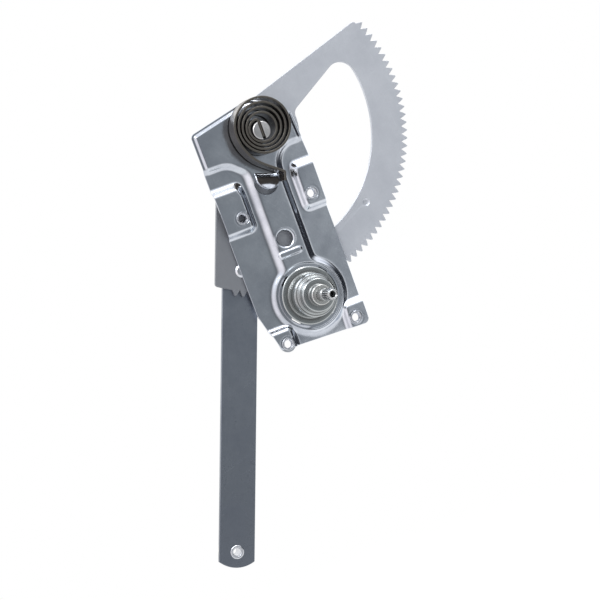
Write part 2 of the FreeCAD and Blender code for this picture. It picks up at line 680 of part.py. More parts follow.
def brake_housing():
    """The drawn cup that holds the brake: flange with tabs, stepped dome, nose and collar."""
    wall = S.housing_sheet
    flange_front = HOUSING_BASE - wall
    dome = S.drum_bore + wall
    nose_front = -S.dome_front
    step = (S.drum_depth - wall) * 0.3
    neck = S.shaft_radius + S.fit + S.bush_wall
    body = turned("brake_housing", [
        (S.drum_bore, HOUSING_BASE),
        (S.housing_flange, HOUSING_BASE),
        (S.housing_flange, flange_front),
        (dome + wall * 1.3, flange_front),
        (dome + wall * 0.9, flange_front - wall),
        (dome + wall * 0.3, flange_front - wall * 1.3),
        (dome, flange_front - step),
        (dome, DRUM_FRONT - wall * 0.4),
        (dome - wall * 0.9, DRUM_FRONT - wall * 1.3),
        (S.dome_radius + wall * 0.6, DRUM_FRONT - wall * 1.6),
        (S.dome_radius, DRUM_FRONT - wall * 2.4),
        (S.dome_radius, nose_front + wall * 0.5),
        (S.dome_radius - wall * 0.5, nose_front),
        (S.collar_radius + wall * 0.3, nose_front),
        (S.collar_radius, nose_front - wall * 0.3),
        (S.collar_radius, -S.collar_front),
        (neck + S.fit, -S.collar_front),
        (neck + S.fit, NOSE_INNER),
        (S.dome_radius - wall, NOSE_INNER),
        (S.dome_radius - wall, DRUM_FRONT - wall * 1.2),
        (S.dome_radius, DRUM_FRONT),
        (S.drum_bore, DRUM_FRONT),
    ], DRUM_X, DRUM_Z)
    tab = start_sketch(body, "tab_outline", "XZ_Plane", -(PLATEAU_BACK + S.tab_grip))
    draw_outline(tab, tab_corners(as_dim(0), as_dim(0), S.tab_angle, TAB_INNER, TAB_OUTER, S.tab_width))
    tab_pad = pad(body, "tab", tab, PLATEAU_BACK + S.tab_grip - flange_front)
    profile = [item for item in body.Group if item.Name.startswith("brake_housing_profile")][0]
    polar_pattern(body, "tabs", [tab_pad], S.tab_count, profile)
    return body


def shaft_bush():
    """The flanged bush in the collar, on which the crank shaft turns."""
    inner = S.shaft_radius + S.fit
    outer = inner + S.bush_wall
    front = -S.collar_front
    return turned("shaft_bush", [
        (inner, front - S.bush_wall),
        (S.collar_radius - S.fit, front - S.bush_wall),
        (S.collar_radius - S.fit, front),
        (outer, front),
        (outer, NOSE_INNER),
        (inner, NOSE_INNER),
    ], DRUM_X, DRUM_Z)


def dust_seal():
    """The soft ring between the bush and the input driver."""
    inner = S.shaft_radius + S.fit * 2
    outer = S.dome_radius - S.housing_sheet - S.seat_gap
    front = NOSE_INNER + S.fit
    back = DRIVER_FRONT - S.clip_thick - S.fit
    return turned("dust_seal", [
        (inner, front),
        (outer, front),
        (outer, back),
        (inner, back),
    ], DRUM_X, DRUM_Z)


def thrust_washer():
    """The thin steel washer that takes the input driver's end thrust."""
    back = DRIVER_FRONT - S.fit / 2
    return ring("thrust_washer", S.shaft_radius + S.fit, S.driver_radius, back - S.clip_thick + S.fit,
                back, DRUM_X, DRUM_Z)


def crank_shaft():
    """The splined shaft with its tapped end, and the thin spindle behind the driver."""
    front = -S.shaft_front
    thread_end = front + S.shaft_thread_depth
    groove_front = front + S.spline_length + S.spline_runout
    body = turned("crank_shaft", [
        (as_dim(0), thread_end + S.shaft_thread_bore),
        (S.shaft_thread_bore, thread_end),
        (S.shaft_thread_bore, front),
        (S.shaft_tip_radius, front),
        (S.shaft_radius, front + S.shaft_tip_length),
        (S.shaft_radius, groove_front),
        (S.shaft_radius - S.spline_depth, groove_front + S.shaft_groove / 4),
        (S.shaft_radius - S.spline_depth, groove_front + S.shaft_groove * 3 / 4),
        (S.shaft_radius, groove_front + S.shaft_groove),
        (S.shaft_radius, DRIVER_BACK),
        (S.spindle_radius, DRIVER_BACK),
        (S.spindle_radius, PINION_BACK - S.seat_gap * 2),
        (S.spindle_radius - S.seat_gap, PINION_BACK - S.seat_gap),
        (as_dim(0), PINION_BACK - S.seat_gap),
    ], DRUM_X, DRUM_Z)
    groove = start_sketch(body, "spline_groove_outline", "XZ_Plane", -(front + S.spline_length))
    half = S.shaft_radius * math.pi / S.spline_count * 0.62
    draw_outline(groove, [
        (-half, S.shaft_radius + S.spline_depth * 0.3),
        (-half * 0.35, S.shaft_radius - S.spline_depth),
        (half * 0.35, S.shaft_radius - S.spline_depth),
        (half, S.shaft_radius + S.spline_depth * 0.3),
    ])
    cut = pocket(body, "spline_groove", groove, S.spline_length + 1, reverse=True)
    profile = [item for item in body.Group if item.Name.startswith("crank_shaft_profile")][0]
    polar_pattern(body, "spline_grooves", [cut], S.spline_count, profile)
    return body


def driver(label, disc_front, disc_back, bore, lug_back, lug_length, middle):
    """A disc with a curved lug on one side, bored for its shaft."""
    body = ring(label, bore, S.driver_radius, disc_front, disc_back, DRUM_X, DRUM_Z)
    lug = start_sketch(body, label + "_lug_outline", "XZ_Plane", -lug_back)
    half = S.lug_angle / 2
    begin = middle - half
    finish = middle + half
    draw_outline(lug, [
        (S.lug_inner * cosine(begin), S.lug_inner * sine(begin)),
        (S.driver_radius * cosine(begin), S.driver_radius * sine(begin), S.driver_radius, 1),
        (S.driver_radius * cosine(finish), S.driver_radius * sine(finish)),
        (S.lug_inner * cosine(finish), S.lug_inner * sine(finish), S.lug_inner, -1),
    ])
    pad(body, label + "_lug", lug, lug_length)
    return body


def input_driver():
    """The driver on the crank shaft: its lug pushes the brake spring's ends inwards."""
    length = OUTPUT_FRONT - S.seat_gap - DRIVER_BACK
    return driver("input_driver", DRIVER_FRONT, DRIVER_BACK, S.shaft_radius + S.fit / 2,
                  DRIVER_BACK + length, length + S.fit, as_dim(0))


def output_driver():
    """The driver on the pinion's side, with the neck that passes through the plate."""
    length = OUTPUT_FRONT - S.seat_gap - DRIVER_BACK
    body = driver("output_driver", OUTPUT_FRONT, OUTPUT_BACK, S.spindle_radius + S.fit,
                  OUTPUT_FRONT + S.fit, length + S.fit, as_dim(180))
    neck = start_sketch(body, "neck_outline", "XZ_Plane", -PINION_FRONT)
    draw_circle(neck, as_dim(0), as_dim(0), S.spindle_radius + S.fit)
    draw_circle(neck, as_dim(0), as_dim(0), S.neck_radius)
    pad(body, "neck", neck, PINION_FRONT - OUTPUT_BACK + S.fit)
    return body


def brake_spring():
    """The square-wire spring that grips the drum, with its two ends turned inwards."""
    half = S.wire.value / 2
    radius = S.drum_bore.value - S.fit.value - half
    height = S.wire_pitch.value * S.wire_turns.value
    middle = (DRUM_FRONT.value + OUTPUT_FRONT.value) / 2
    helix = Part.makeHelix(S.wire_pitch.value, height, radius)
    section = Part.makePolygon([
        FreeCAD.Vector(radius - half, 0, -half),
        FreeCAD.Vector(radius + half, 0, -half),
        FreeCAD.Vector(radius + half, 0, half),
        FreeCAD.Vector(radius - half, 0, half),
        FreeCAD.Vector(radius - half, 0, -half),
    ])
    coil = Part.Wire(helix).makePipeShell([section], True, True)
    reach = radius - S.driver_radius.value + S.wire.value
    ends = []
    for turn, lift in ((0.0, 0.0), (S.wire_turns.value, height)):
        tang = Part.makeBox(reach, S.wire.value, S.wire.value,
                            FreeCAD.Vector(radius + half - reach - half, -half, lift - half))
        tang.rotate(FreeCAD.Vector(0, 0, 0), FreeCAD.Vector(0, 0, 1), 360 * turn)
        ends.append(tang)
    spring = coil.fuse(ends).removeSplitter()
    spring.translate(FreeCAD.Vector(0, 0, -height / 2))
    spring.rotate(FreeCAD.Vector(0, 0, 0), FreeCAD.Vector(0, 0, 1), 90)
    spring.rotate(FreeCAD.Vector(0, 0, 0), FreeCAD.Vector(1, 0, 0), -90)
    spring.translate(FreeCAD.Vector(0, middle, 0))
    return coded_piece("brake_spring", spring, DRUM_X, DRUM_Z)


def plate_bush():
    """The bush in the plate in which the output driver's neck turns."""
    inner = S.neck_radius + S.fit
    return turned("plate_bush", [
        (inner, PLATEAU_FRONT),
        (PLATE_BUSH_OUTER, PLATEAU_FRONT),
        (PLATE_BUSH_OUTER, PLATEAU_BACK),
        (PLATE_BUSH_OUTER + S.plate_bush_wall, PLATEAU_BACK),
        (PLATE_BUSH_OUTER + S.plate_bush_wall, BUSH_FLANGE_BACK),
        (inner, BUSH_FLANGE_BACK),
    ], DRUM_X, DRUM_Z)


def guide_washer():
    """The washer before the pinion, which keeps the sector's rim in its plane."""
    return ring("guide_washer", S.neck_radius + S.fit, S.guide_radius, GUIDE_FRONT, PINION_FRONT,
                DRUM_X, DRUM_Z)


def involute(angle):
    """The involute function of a pressure angle in radians."""
    return math.tan(angle) - angle


def half_tooth(count, radius):
    """Half a tooth's angle, in radians, at a radius of a wheel with that many teeth."""
    module = S.module.value
    pitch = module * count / 2
    pressure = math.radians(S.pressure_angle.value)
    base = pitch * math.cos(pressure)
    at_pitch = math.pi / (2 * count) - S.backlash.value / (4 * pitch)
    local = math.acos(min(1.0, base / radius))
    return at_pitch + involute(pressure) - involute(local)


def tooth_edges(count, middle, y):
    """One tooth's two flanks and its tip, about a middle angle in degrees."""
    module = S.module.value
    pitch = module * count / 2
    base = pitch * math.cos(math.radians(S.pressure_angle.value))
    low = pitch - S.dedendum.value * module
    start = max(low, base * 1.001)
    tip = pitch + module
    bend = (start + tip) / 2

    def point(radius, side):
        half = math.degrees(half_tooth(count, max(radius, start)))
        return at(radius, middle + side * half, y)

    edges = []
    if low < start:
        edges.append(Part.LineSegment(point(low, -1), point(start, -1)).toShape())
    edges.append(Part.Arc(point(start, -1), point(bend, -1), point(tip, -1)).toShape())
    edges.append(Part.Arc(point(tip, -1), at(tip, middle, y), point(tip, 1)).toShape())
    edges.append(Part.Arc(point(tip, 1), point(bend, 1), point(start, 1)).toShape())
    if low < start:
        edges.append(Part.LineSegment(point(start, 1), point(low, 1)).toShape())
    return edges


def gullet(count, before, after, y):
    """The rounded bottom between two teeth, from one flank's foot to the next."""
    low = S.module.value * count / 2 - S.dedendum.value * S.module.value
    deeper = low - S.module.value * 0.12
    return Part.Arc(before, at(deeper, after[0], y), after[1]).toShape()


def toothed_edges(count, middles, y):
    """Teeth one after another, joined by rounded gullets."""
    step = 180.0 / count
    edges = []
    for middle in middles:
        tooth = tooth_edges(count, middle, y)
        if edges:
            start = tooth[0].firstVertex().Point
            edges.append(gullet(count, edges[-1].lastVertex().Point, (middle - step, start), y))
        edges.extend(tooth)
    return edges


def pinion():
    """The eight-toothed pinion, with a recess behind for its retaining ring."""
    count = int(S.pinion_count.value)
    step = 360.0 / count
    front = PINION_FRONT.value
    mesh = math.degrees(math.atan2(PIVOT_Z.value - DRUM_Z.value, PIVOT_X.value - DRUM_X.value))
    middles = [mesh + step * (index + 0.5) for index in range(count)]
    edges = toothed_edges(count, middles, front)
    first = edges[0].firstVertex().Point
    last = edges[-1].lastVertex().Point
    edges.append(gullet(count, last, (mesh, first), front))
    thick = PINION_BACK.value - front
    wheel = Part.Face(Part.Wire(edges)).extrude(FreeCAD.Vector(0, thick, 0))
    along = FreeCAD.Vector(0, 1, 0)
    bore = Part.makeCylinder(S.spindle_radius.value + S.fit.value, thick * 3,
                             FreeCAD.Vector(0, front - thick, 0), along)
    recess = Part.makeCylinder(CLIP_RADIUS.value + S.fit.value, thick,
                               FreeCAD.Vector(0, RECESS_FLOOR.value, 0), along)
    return coded_piece("pinion", wheel.cut(bore).cut(recess), DRUM_X, DRUM_Z)


def retaining_ring():
    """The ring on the spindle's end that holds the pinion."""
    return ring("retaining_ring", S.spindle_radius + S.fit / 2, CLIP_RADIUS, RECESS_FLOOR,
                RECESS_FLOOR + S.clip_thick, DRUM_X, DRUM_Z)


def pivot_bush():
    """The bush in which the pivot journal turns, with the thick flange behind the plate."""
    inner = S.pin_journal + S.fit
    return turned("pivot_bush", [
        (inner, PLATEAU_FRONT),
        (PIVOT_SLEEVE, PLATEAU_FRONT),
        (PIVOT_SLEEVE, PLATEAU_BACK),
        (PIVOT_SLEEVE + S.plate_bush_wall * 2, PLATEAU_BACK),
        (PIVOT_SLEEVE + S.plate_bush_wall * 2, PIVOT_FLANGE_BACK),
        (inner, PIVOT_FLANGE_BACK),
    ], PIVOT_X, PIVOT_Z)


def pivot_washer():
    """The washer between the slotted head and the plate."""
    return ring("pivot_washer", S.pin_journal + S.fit, PIVOT_SLEEVE + S.plate_bush_wall,
                PIVOT_SHOULDER + S.seat_gap / 3, PLATEAU_FRONT, PIVOT_X, PIVOT_Z)


def pivot_pin():
    """The slotted pin that carries sector and arm and takes the spring's inner end."""
    front = -S.pin_front
    soft = S.pin_radius * 0.08
    head = S.pin_journal * 1.5
    body = turned("pivot_pin", [
        (as_dim(0), front),
        (S.pin_radius - soft, front),
        (S.pin_radius, front + soft),
        (S.pin_radius, PIVOT_SHOULDER),
        (S.pin_journal, PIVOT_SHOULDER),
        (S.pin_journal, ARM_BACK),
        (head, ARM_BACK),
        (head, ARM_BACK + S.rivet_back_rise * 0.5),
        (head * 0.7, ARM_BACK + S.rivet_back_rise),
        (as_dim(0), ARM_BACK + S.rivet_back_rise),
    ], PIVOT_X, PIVOT_Z)
    slot = start_sketch(body, "slot_outline", "XZ_Plane", S.pin_front)
    half = S.pin_slot / 2
    long = S.pin_radius * 1.2
    draw_outline(slot, [(-half, -long), (half, -long), (half, long), (-half, long)])
    pocket(body, "slot", slot, S.pin_slot_depth)
    return body


class StripPath:
    """The middle line of a bent strip, walked run by run, with both of its edges."""

    def __init__(self, x, z, heading, thickness):
        self.place = FreeCAD.Vector(x, 0, z)
        self.heading = heading
        self.half = thickness / 2
        self.left = []
        self.right = []
        self.length = 0.0

    def _side(self, sign):
        turn = math.radians(self.heading + 90 * sign)
        return self.place + FreeCAD.Vector(math.cos(turn), 0, math.sin(turn)) * self.half

    def run(self, length):
        """A straight run."""
        begin = (self._side(1), self._side(-1))
        turn = math.radians(self.heading)
        self.place = self.place + FreeCAD.Vector(math.cos(turn), 0, math.sin(turn)) * length
        self.left.append(Part.LineSegment(begin[0], self._side(1)).toShape())
        self.right.append(Part.LineSegment(begin[1], self._side(-1)).toShape())
        self.length += length

    def bend(self, radius, degrees):
        """A bend to the left, or to the right where degrees is negative."""
        sign = 1 if degrees > 0 else -1
        turn = math.radians(self.heading + 90 * sign)
        centre = self.place + FreeCAD.Vector(math.cos(turn), 0, math.sin(turn)) * radius
        ends = []
        for part in (0.0, 0.5, 1.0):
            heading = self.heading + degrees * part
            away = math.radians(heading - 90 * sign)
            outward = FreeCAD.Vector(math.cos(away), 0, math.sin(away))
            left = centre + outward * (radius - sign * self.half)
            right = centre + outward * (radius + sign * self.half)
            ends.append((left, right, centre + outward * radius))
        self.left.append(Part.Arc(ends[0][0], ends[1][0], ends[2][0]).toShape())
        self.right.append(Part.Arc(ends[0][1], ends[1][1], ends[2][1]).toShape())
        self.place = ends[2][2]
        self.heading += degrees
        self.length += math.radians(abs(degrees)) * radius

    def face(self):
        """The strip's outline, closed at both ends."""
        first = Part.LineSegment(self.right[0].firstVertex().Point, self.left[0].firstVertex().Point)
        last = Part.LineSegment(self.left[-1].lastVertex().Point, self.right[-1].lastVertex().Point)
        edges = [first.toShape()] + self.left + [last.toShape()] + self.right
        return Part.Face(Part.Wire(Part.__sortEdges__(edges)))


def hook_start():
    """Where the spring's tail starts to bend round the right end of the tongue, from the pivot."""
    tilt = math.radians(S.tongue_tilt.value)
    tail = math.radians(90 - S.spring_tail_turn.value)
    half = S.tongue_width.value / 2
    side = S.spring_strip.value / 2 + S.seat_gap.value
    corner_x = S.tongue_x.value + half * math.cos(tilt)
    corner_z = TONGUE_Z.value - half * math.sin(tilt)
    return (corner_x + side * math.sin(tail) - PIVOT_X.value,
            corner_z + side * math.cos(tail) - PIVOT_Z.value)


def spring_path():
    """The counterbalance spring's middle line: slot, coil, tail and hook."""
    start = S.pin_radius.value + S.spring_clear.value + S.spring_strip.value / 2
    bend = S.spring_bend.value
    quarter = S.spring_pitch.value / 4
    path = StripPath(0.0, -S.pin_radius.value * 0.7, 90.0, S.spring_strip.value)
    path.run(start - bend + S.pin_radius.value * 0.7)
    path.bend(bend, 90)
    path.bend(start - bend, 90)
    radius = start + quarter
    path.bend(radius + bend / 2, 90)
    for number in range(2, int(S.spring_turns.value * 4) + 1):
        radius += quarter
        extra = S.spring_drift.value if number % 4 == 2 else 0.0
        path.bend(radius + extra, 90)

    turn = math.radians(S.spring_tail_turn.value)
    cosine_turn = math.cos(turn)
    sine_turn = math.sin(turn)
    target_x, target_z = hook_start()
    gap_x = target_x - path.place.x
    gap_z = path.place.z - target_z
    last_radius = (sine_turn * gap_z - cosine_turn * gap_x) / (1 - cosine_turn)
    tail = (sine_turn * gap_x - (1 - cosine_turn) * gap_z) / (1 - cosine_turn)
    path.bend(last_radius, S.spring_tail_turn.value)
    path.run(tail)
    hook_turn = S.spring_tail_turn.value + S.tongue_tilt.value
    path.bend(S.spring_strip.value / 2 + S.seat_gap.value, -hook_turn)
    path.run(S.spring_hook.value)
    return path


def counterbalance_spring():
    """The spiral strip spring, from the pin's slot to its hook on the plate's tongue."""
    strip = spring_path().face().extrude(FreeCAD.Vector(0, S.spring_width.value, 0))
    strip.translate(FreeCAD.Vector(0, -S.spring_front.value, 0))
    return coded_piece("counterbalance_spring", strip, PIVOT_X, PIVOT_Z)


def sector_middles():
    """The middle angles of the sector's teeth, in degrees, at rest."""
    step = 360.0 / S.sector_count.value
    mesh = math.degrees(math.atan2(DRUM_Z.value - PIVOT_Z.value, DRUM_X.value - PIVOT_X.value))
    first = -int(S.teeth_before.value)
    last = int(S.teeth_after.value)
    return [mesh + step * number for number in range(first, last + 1)]


def edge_point(offset, direction, radius, left_side):
    """Where a straight edge at an offset from the pivot meets a circle about it."""
    normal = direction + (90 if left_side else -90)
    along = math.sqrt(radius ** 2 - offset ** 2)
    return at(offset, normal) + at(along, direction)


def sector_gear():
    """The toothed sector: involute teeth on a fan with two straight edges and a window."""
    front = SECTOR_FRONT.value
    module = S.module.value
    count = S.sector_count.value
    land = module * count / 2 - S.dedendum.value * module
    arm_direction = -90 - S.arm_angle.value
    lift = FreeCAD.Vector(0, front, 0)
    teeth = toothed_edges(count, sector_middles(), front)
    foot = teeth[0].firstVertex().Point
    crest = teeth[-1].lastVertex().Point
    left_end = edge_point(S.sector_left_offset.value, arm_direction, land, False) + lift
    top_end = edge_point(S.sector_top_offset.value, S.sector_top_angle.value, land, True) + lift
    hub_left = at(S.sector_left_offset.value, arm_direction - 90, front)
    hub_top = at(S.sector_top_offset.value, S.sector_top_angle.value + 90, front)
    mean = (S.sector_left_offset.value + S.sector_top_offset.value) / 2
    turn = (arm_direction + 270 + S.sector_top_angle.value + 90) / 2
    low_land = angle_between(left_end, foot)
    high_land = angle_between(crest, top_end)
    edges = [Part.Arc(left_end, at(land, low_land, front), foot).toShape()]
    edges += teeth
    edges.append(Part.Arc(crest, at(land, high_land, front), top_end).toShape())
    edges.append(Part.LineSegment(top_end, hub_top).toShape())
    edges.append(Part.Arc(hub_top, at(mean, turn, front), hub_left).toShape())
    edges.append(Part.LineSegment(hub_left, left_end).toShape())
    blank = Part.Face(Part.Wire(edges)).extrude(FreeCAD.Vector(0, S.sector_thick.value, 0))
    blank = soften(blank, S.window_small_round.value * 0.4, [left_end, top_end])
    along = FreeCAD.Vector(0, 1, 0)
    thick = S.sector_thick.value
    cutters = [sector_window(front - thick, thick * 3)]
    bore = S.pin_journal.value + S.fit.value
    cutters.append(Part.makeCylinder(bore, thick * 3, FreeCAD.Vector(0, front - thick, 0), along))
    for place_now in rivet_places():
        hole = Part.makeCylinder(S.rivet_shank.value + S.fit.value, thick * 3,
                                 FreeCAD.Vector(place_now.x, front - thick, place_now.z), along)
        cutters.append(hole)
    spot = at(S.dimple_at.value, -S.dimple_angle.value, front)
    cutters.append(Part.makeCone(S.dimple_radius.value, S.dimple_radius.value * 0.6,
                                 S.dimple_depth.value, spot, along))
    shape = blank.cut(cutters)
    back = at(S.dimple_at.value, -S.dimple_angle.value, SECTOR_BACK.value)
    boss = Part.makeCone(S.dimple_radius.value, S.dimple_radius.value * 0.6,
                         S.dimple_depth.value, back, along)
    return coded_piece("sector_gear", shape.fuse(boss).removeSplitter(), PIVOT_X, PIVOT_Z)


def angle_between(one, other):
    """The angle, in degrees, halfway between two points about the pivot."""
    first = math.degrees(math.atan2(one.z, one.x))
    second = math.degrees(math.atan2(other.z, other.x))
    return (first + second) / 2


def soften(solid, radius, places):
    """Round the edges along Y that stand at given places."""
    picks = []
    for edge in solid.Edges:
        low = edge.firstVertex().Point
        high = edge.lastVertex().Point
        upright = abs(low.x - high.x) + abs(low.z - high.z) < 1e-6
        near = any(math.hypot(low.x - spot.x, low.z - spot.z) < 0.01 for spot in places)
        if upright and near:
            picks.append(edge)
    return solid.makeFillet(radius, picks)


def sector_window(y, depth):
    """The D-shaped window, as the solid that is cut away."""
    inner = S.window_inner.value
    outer = S.window_outer.value
    begin = S.window_start_angle.value
    low = -S.window_low_angle.value
    tip = S.window_tip_angle.value
    inner_top = at(inner, begin, y)
    inner_low = at(inner, low, y)
    outer_low = at(outer, low, y)
    outer_top = at(outer, tip, y)
    edges = [
        Part.Arc(inner_top, at(inner, (begin + low) / 2, y), inner_low).toShape(),
        Part.LineSegment(inner_low, outer_low).toShape(),
        Part.Arc(outer_low, at(outer, (tip + low) / 2, y), outer_top).toShape(),
        Part.LineSegment(outer_top, inner_top).toShape(),
    ]
    solid = Part.Face(Part.Wire(edges)).extrude(FreeCAD.Vector(0, depth, 0))
    solid = soften(solid, S.window_round.value, [outer_top])
    return soften(solid, S.window_small_round.value, [inner_top, inner_low, outer_low])


def arm_frame(across, along):
    """A point on the arm at rest: across to its right, along from the pivot to its end."""
    turn = math.radians(S.arm_angle.value)
    x = across * math.cos(turn) - along * math.sin(turn)
    z = -across * math.sin(turn) - along * math.cos(turn)
    return FreeCAD.Vector(x, 0, z)


RIVET_COUNT = 3


def rivet_places():
    """The rivets that join arm and sector, from the pivot."""
    places = []
    for index in range(RIVET_COUNT):
        along = S.rivet_first.value + S.rivet_step.value * index
        places.append(arm_frame(-S.arm_offset.value, along))
    return places


def lift_arm():
    """The flat arm, straight down in its own frame and turned to its place at rest."""
    body = start_body("lift_arm")
    outline = start_sketch(body, "arm_outline", "XZ_Plane", -ARM_BACK)
    half = S.arm_width / 2
    left = -S.arm_offset - half
    right = -S.arm_offset + half
    head = S.arm_offset + half
    low = S.arm_end_round - root(S.arm_end_round * S.arm_end_round - half * half)
    side_z = -S.roller_reach - S.arm_end_margin + low
    draw_outline(outline, [
        (left, side_z, S.arm_end_round, 1),
        (right, side_z),
        (right, -S.arm_flare),
        (head * cosine(S.arm_head_angle), -head * sine(S.arm_head_angle), head, 1),
        (as_dim(0), head, head, 1),
        (left, as_dim(0)),
    ])
    pad(body, "arm_strip", outline, S.arm_thick)
    holes = start_sketch(body, "arm_holes", "XZ_Plane")
    draw_circle(holes, as_dim(0), as_dim(0), S.pin_journal + S.fit)
    draw_circle(holes, -S.arm_offset, -S.roller_reach, S.roller_pin_radius + S.fit)
    for index in range(RIVET_COUNT):
        draw_circle(holes, -S.arm_offset, -(S.rivet_first + S.rivet_step * index), S.rivet_shank + S.fit)
    pocket(body, "arm_piercing", holes)
    body.Placement = FreeCAD.Placement(
        FreeCAD.Vector(0, 0, 0), FreeCAD.Rotation(FreeCAD.Vector(0, 1, 0), S.arm_angle.value))
    body.setExpression("Placement.Rotation.Angle", S.arm_angle.text)
    place(body, PIVOT_X, PIVOT_Z)
    doc.recompute()
    return body


def arm_rivets():
    """The rivets through sector and arm, with low heads towards the plate."""
    proto = doc.addObject("PartDesign::Body", "arm_rivet")
    sketch = start_sketch(proto, "arm_rivet_profile", "XY_Plane")
    draw_outline(sketch, [
        (as_dim(0), SECTOR_FRONT - S.rivet_rise),
        (S.rivet_head * 0.7, SECTOR_FRONT - S.rivet_rise),
        (S.rivet_head, SECTOR_FRONT),
        (S.rivet_shank, SECTOR_FRONT),
        (S.rivet_shank, ARM_BACK),
        (S.rivet_head, ARM_BACK),
        (S.rivet_head * 0.9, ARM_BACK + S.rivet_back_rise * 0.6),
        (S.rivet_head * 0.6, ARM_BACK + S.rivet_back_rise),
        (as_dim(0), ARM_BACK + S.rivet_back_rise),
    ])
    feature = proto.newObject("PartDesign::Revolution", "arm_rivet_turn")
    feature.Profile = sketch
    feature.ReferenceAxis = (sketch, ["V_Axis"])
    feature.Angle = 360
    doc.recompute()
    copies = []
    for place_now in rivet_places():
        copy = proto.Shape.copy()
        copy.translate(place_now)
        copies.append(copy)
    return coded_piece("arm_rivets", Part.makeCompound(copies), PIVOT_X, PIVOT_Z)


ROLLER_FRONT = ARM_BACK + S.sheet
ROLLER_BACK = ROLLER_FRONT + S.roller_width


def roller_centre():
    """The roller pin's place at rest, as sizes."""
    across = -S.arm_offset * cosine(S.arm_angle) - S.roller_reach * sine(S.arm_angle)
    along = S.arm_offset * sine(S.arm_angle) - S.roller_reach * cosine(S.arm_angle)
    return PIVOT_X + across, PIVOT_Z + along


def roller_pin():
    """The hollow stepped rivet at the arm's end, with the journal for the roller behind."""
    x, z = roller_centre()
    front = SECTOR_BACK - S.rivet_rise * 0.6
    clip_seat = ROLLER_BACK + S.seat_gap
    return turned("roller_pin", [
        (S.roller_pin_bore, front + S.seat_gap),
        (S.roller_pin_bore + S.seat_gap, front),
        (S.roller_pin_head, front),
        (S.roller_pin_head, SECTOR_BACK),
        (S.roller_pin_radius, SECTOR_BACK),
        (S.roller_pin_radius, ARM_BACK),
        (S.roller_pin_collar, ARM_BACK),
        (S.roller_pin_collar, ROLLER_FRONT - S.seat_gap),
        (S.roller_pin_radius, ROLLER_FRONT - S.seat_gap),
        (S.roller_pin_radius, clip_seat + S.clip_thick),
        (S.roller_pin_radius - S.seat_gap, clip_seat + S.clip_thick + S.seat_gap),
        (S.roller_pin_bore, clip_seat + S.clip_thick + S.seat_gap),
    ], x, z)


def roller():
    """The grooved plastic roller that runs in the glass channel."""
    x, z = roller_centre()
    groove = S.roller_radius - S.roller_groove
    soft = S.roller_groove * 0.5
    third = S.roller_width / 3
    return turned("roller", [
        (S.roller_pin_radius + S.fit, ROLLER_FRONT),
        (S.roller_radius - soft, ROLLER_FRONT),
        (S.roller_radius, ROLLER_FRONT + soft),
        (S.roller_radius, ROLLER_FRONT + third),
        (groove, ROLLER_FRONT + third + soft),
        (groove, ROLLER_BACK - third - soft),
        (S.roller_radius, ROLLER_BACK - third),
        (S.roller_radius, ROLLER_BACK - soft),
        (S.roller_radius - soft, ROLLER_BACK),
        (S.roller_pin_radius + S.fit, ROLLER_BACK),
    ], x, z)


def roller_clip():
    """The ring that holds the roller on its pin."""
    x, z = roller_centre()
    front = ROLLER_BACK + S.seat_gap
    return ring("roller_clip", S.roller_pin_radius + S.fit / 2, S.roller_clip_radius, front,
                front + S.clip_thick, x, z)


def check_and_write():
    """Stop on any failed object or unsound shape, then write every piece's file."""
    doc.recompute()
    for item in doc.Objects:
        if "Invalid" in item.State or "Error" in item.State:
            raise ValueError("failed: %s %s" % (item.Name, item.State))
    os.makedirs("parts", exist_ok=True)
    for node in nodes:
        shape = node.Shape
        if shape.isNull() or not shape.isValid():
            raise ValueError("bad shape: " + node.Label)
        box = shape.BoundBox
        print("%-22s solids %d volume %9.1f  x %7.1f %7.1f  y %6.1f %6.1f  z %7.1f %7.1f" % (
            node.Label, len(shape.Solids), shape.Volume, box.XMin, box.XMax, box.YMin, box.YMax,
            box.ZMin, box.ZMax))
        shape.exportStep("parts/%s.step" % node.Label)


base_plate()
clinch_nuts()
brake_housing()
shaft_bush()
dust_seal()
plate_bush()
pivot_bush()
pivot_washer()
crank_shaft()
thrust_washer()
input_driver()
brake_spring()
output_driver()
guide_washer()
pinion()
retaining_ring()
pivot_pin()
counterbalance_spring()
sector_gear()
lift_arm()
arm_rivets()
roller_pin()
roller()
roller_clip()
check_and_write()
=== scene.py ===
"""Window regulator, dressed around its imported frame.

Lengths inside the piece classes are in millimetres and become metres when a mesh is written.
The frame's origin is the middle of the four fixing holes, +Z runs along the plate to the
sector's pivot, and -Y points towards the crank.
"""

import logging
import math
from abc import ABC, abstractmethod
from dataclasses import dataclass, field
from enum import Enum

import bmesh
import bpy
import numpy as np
from mathutils import Matrix, Vector


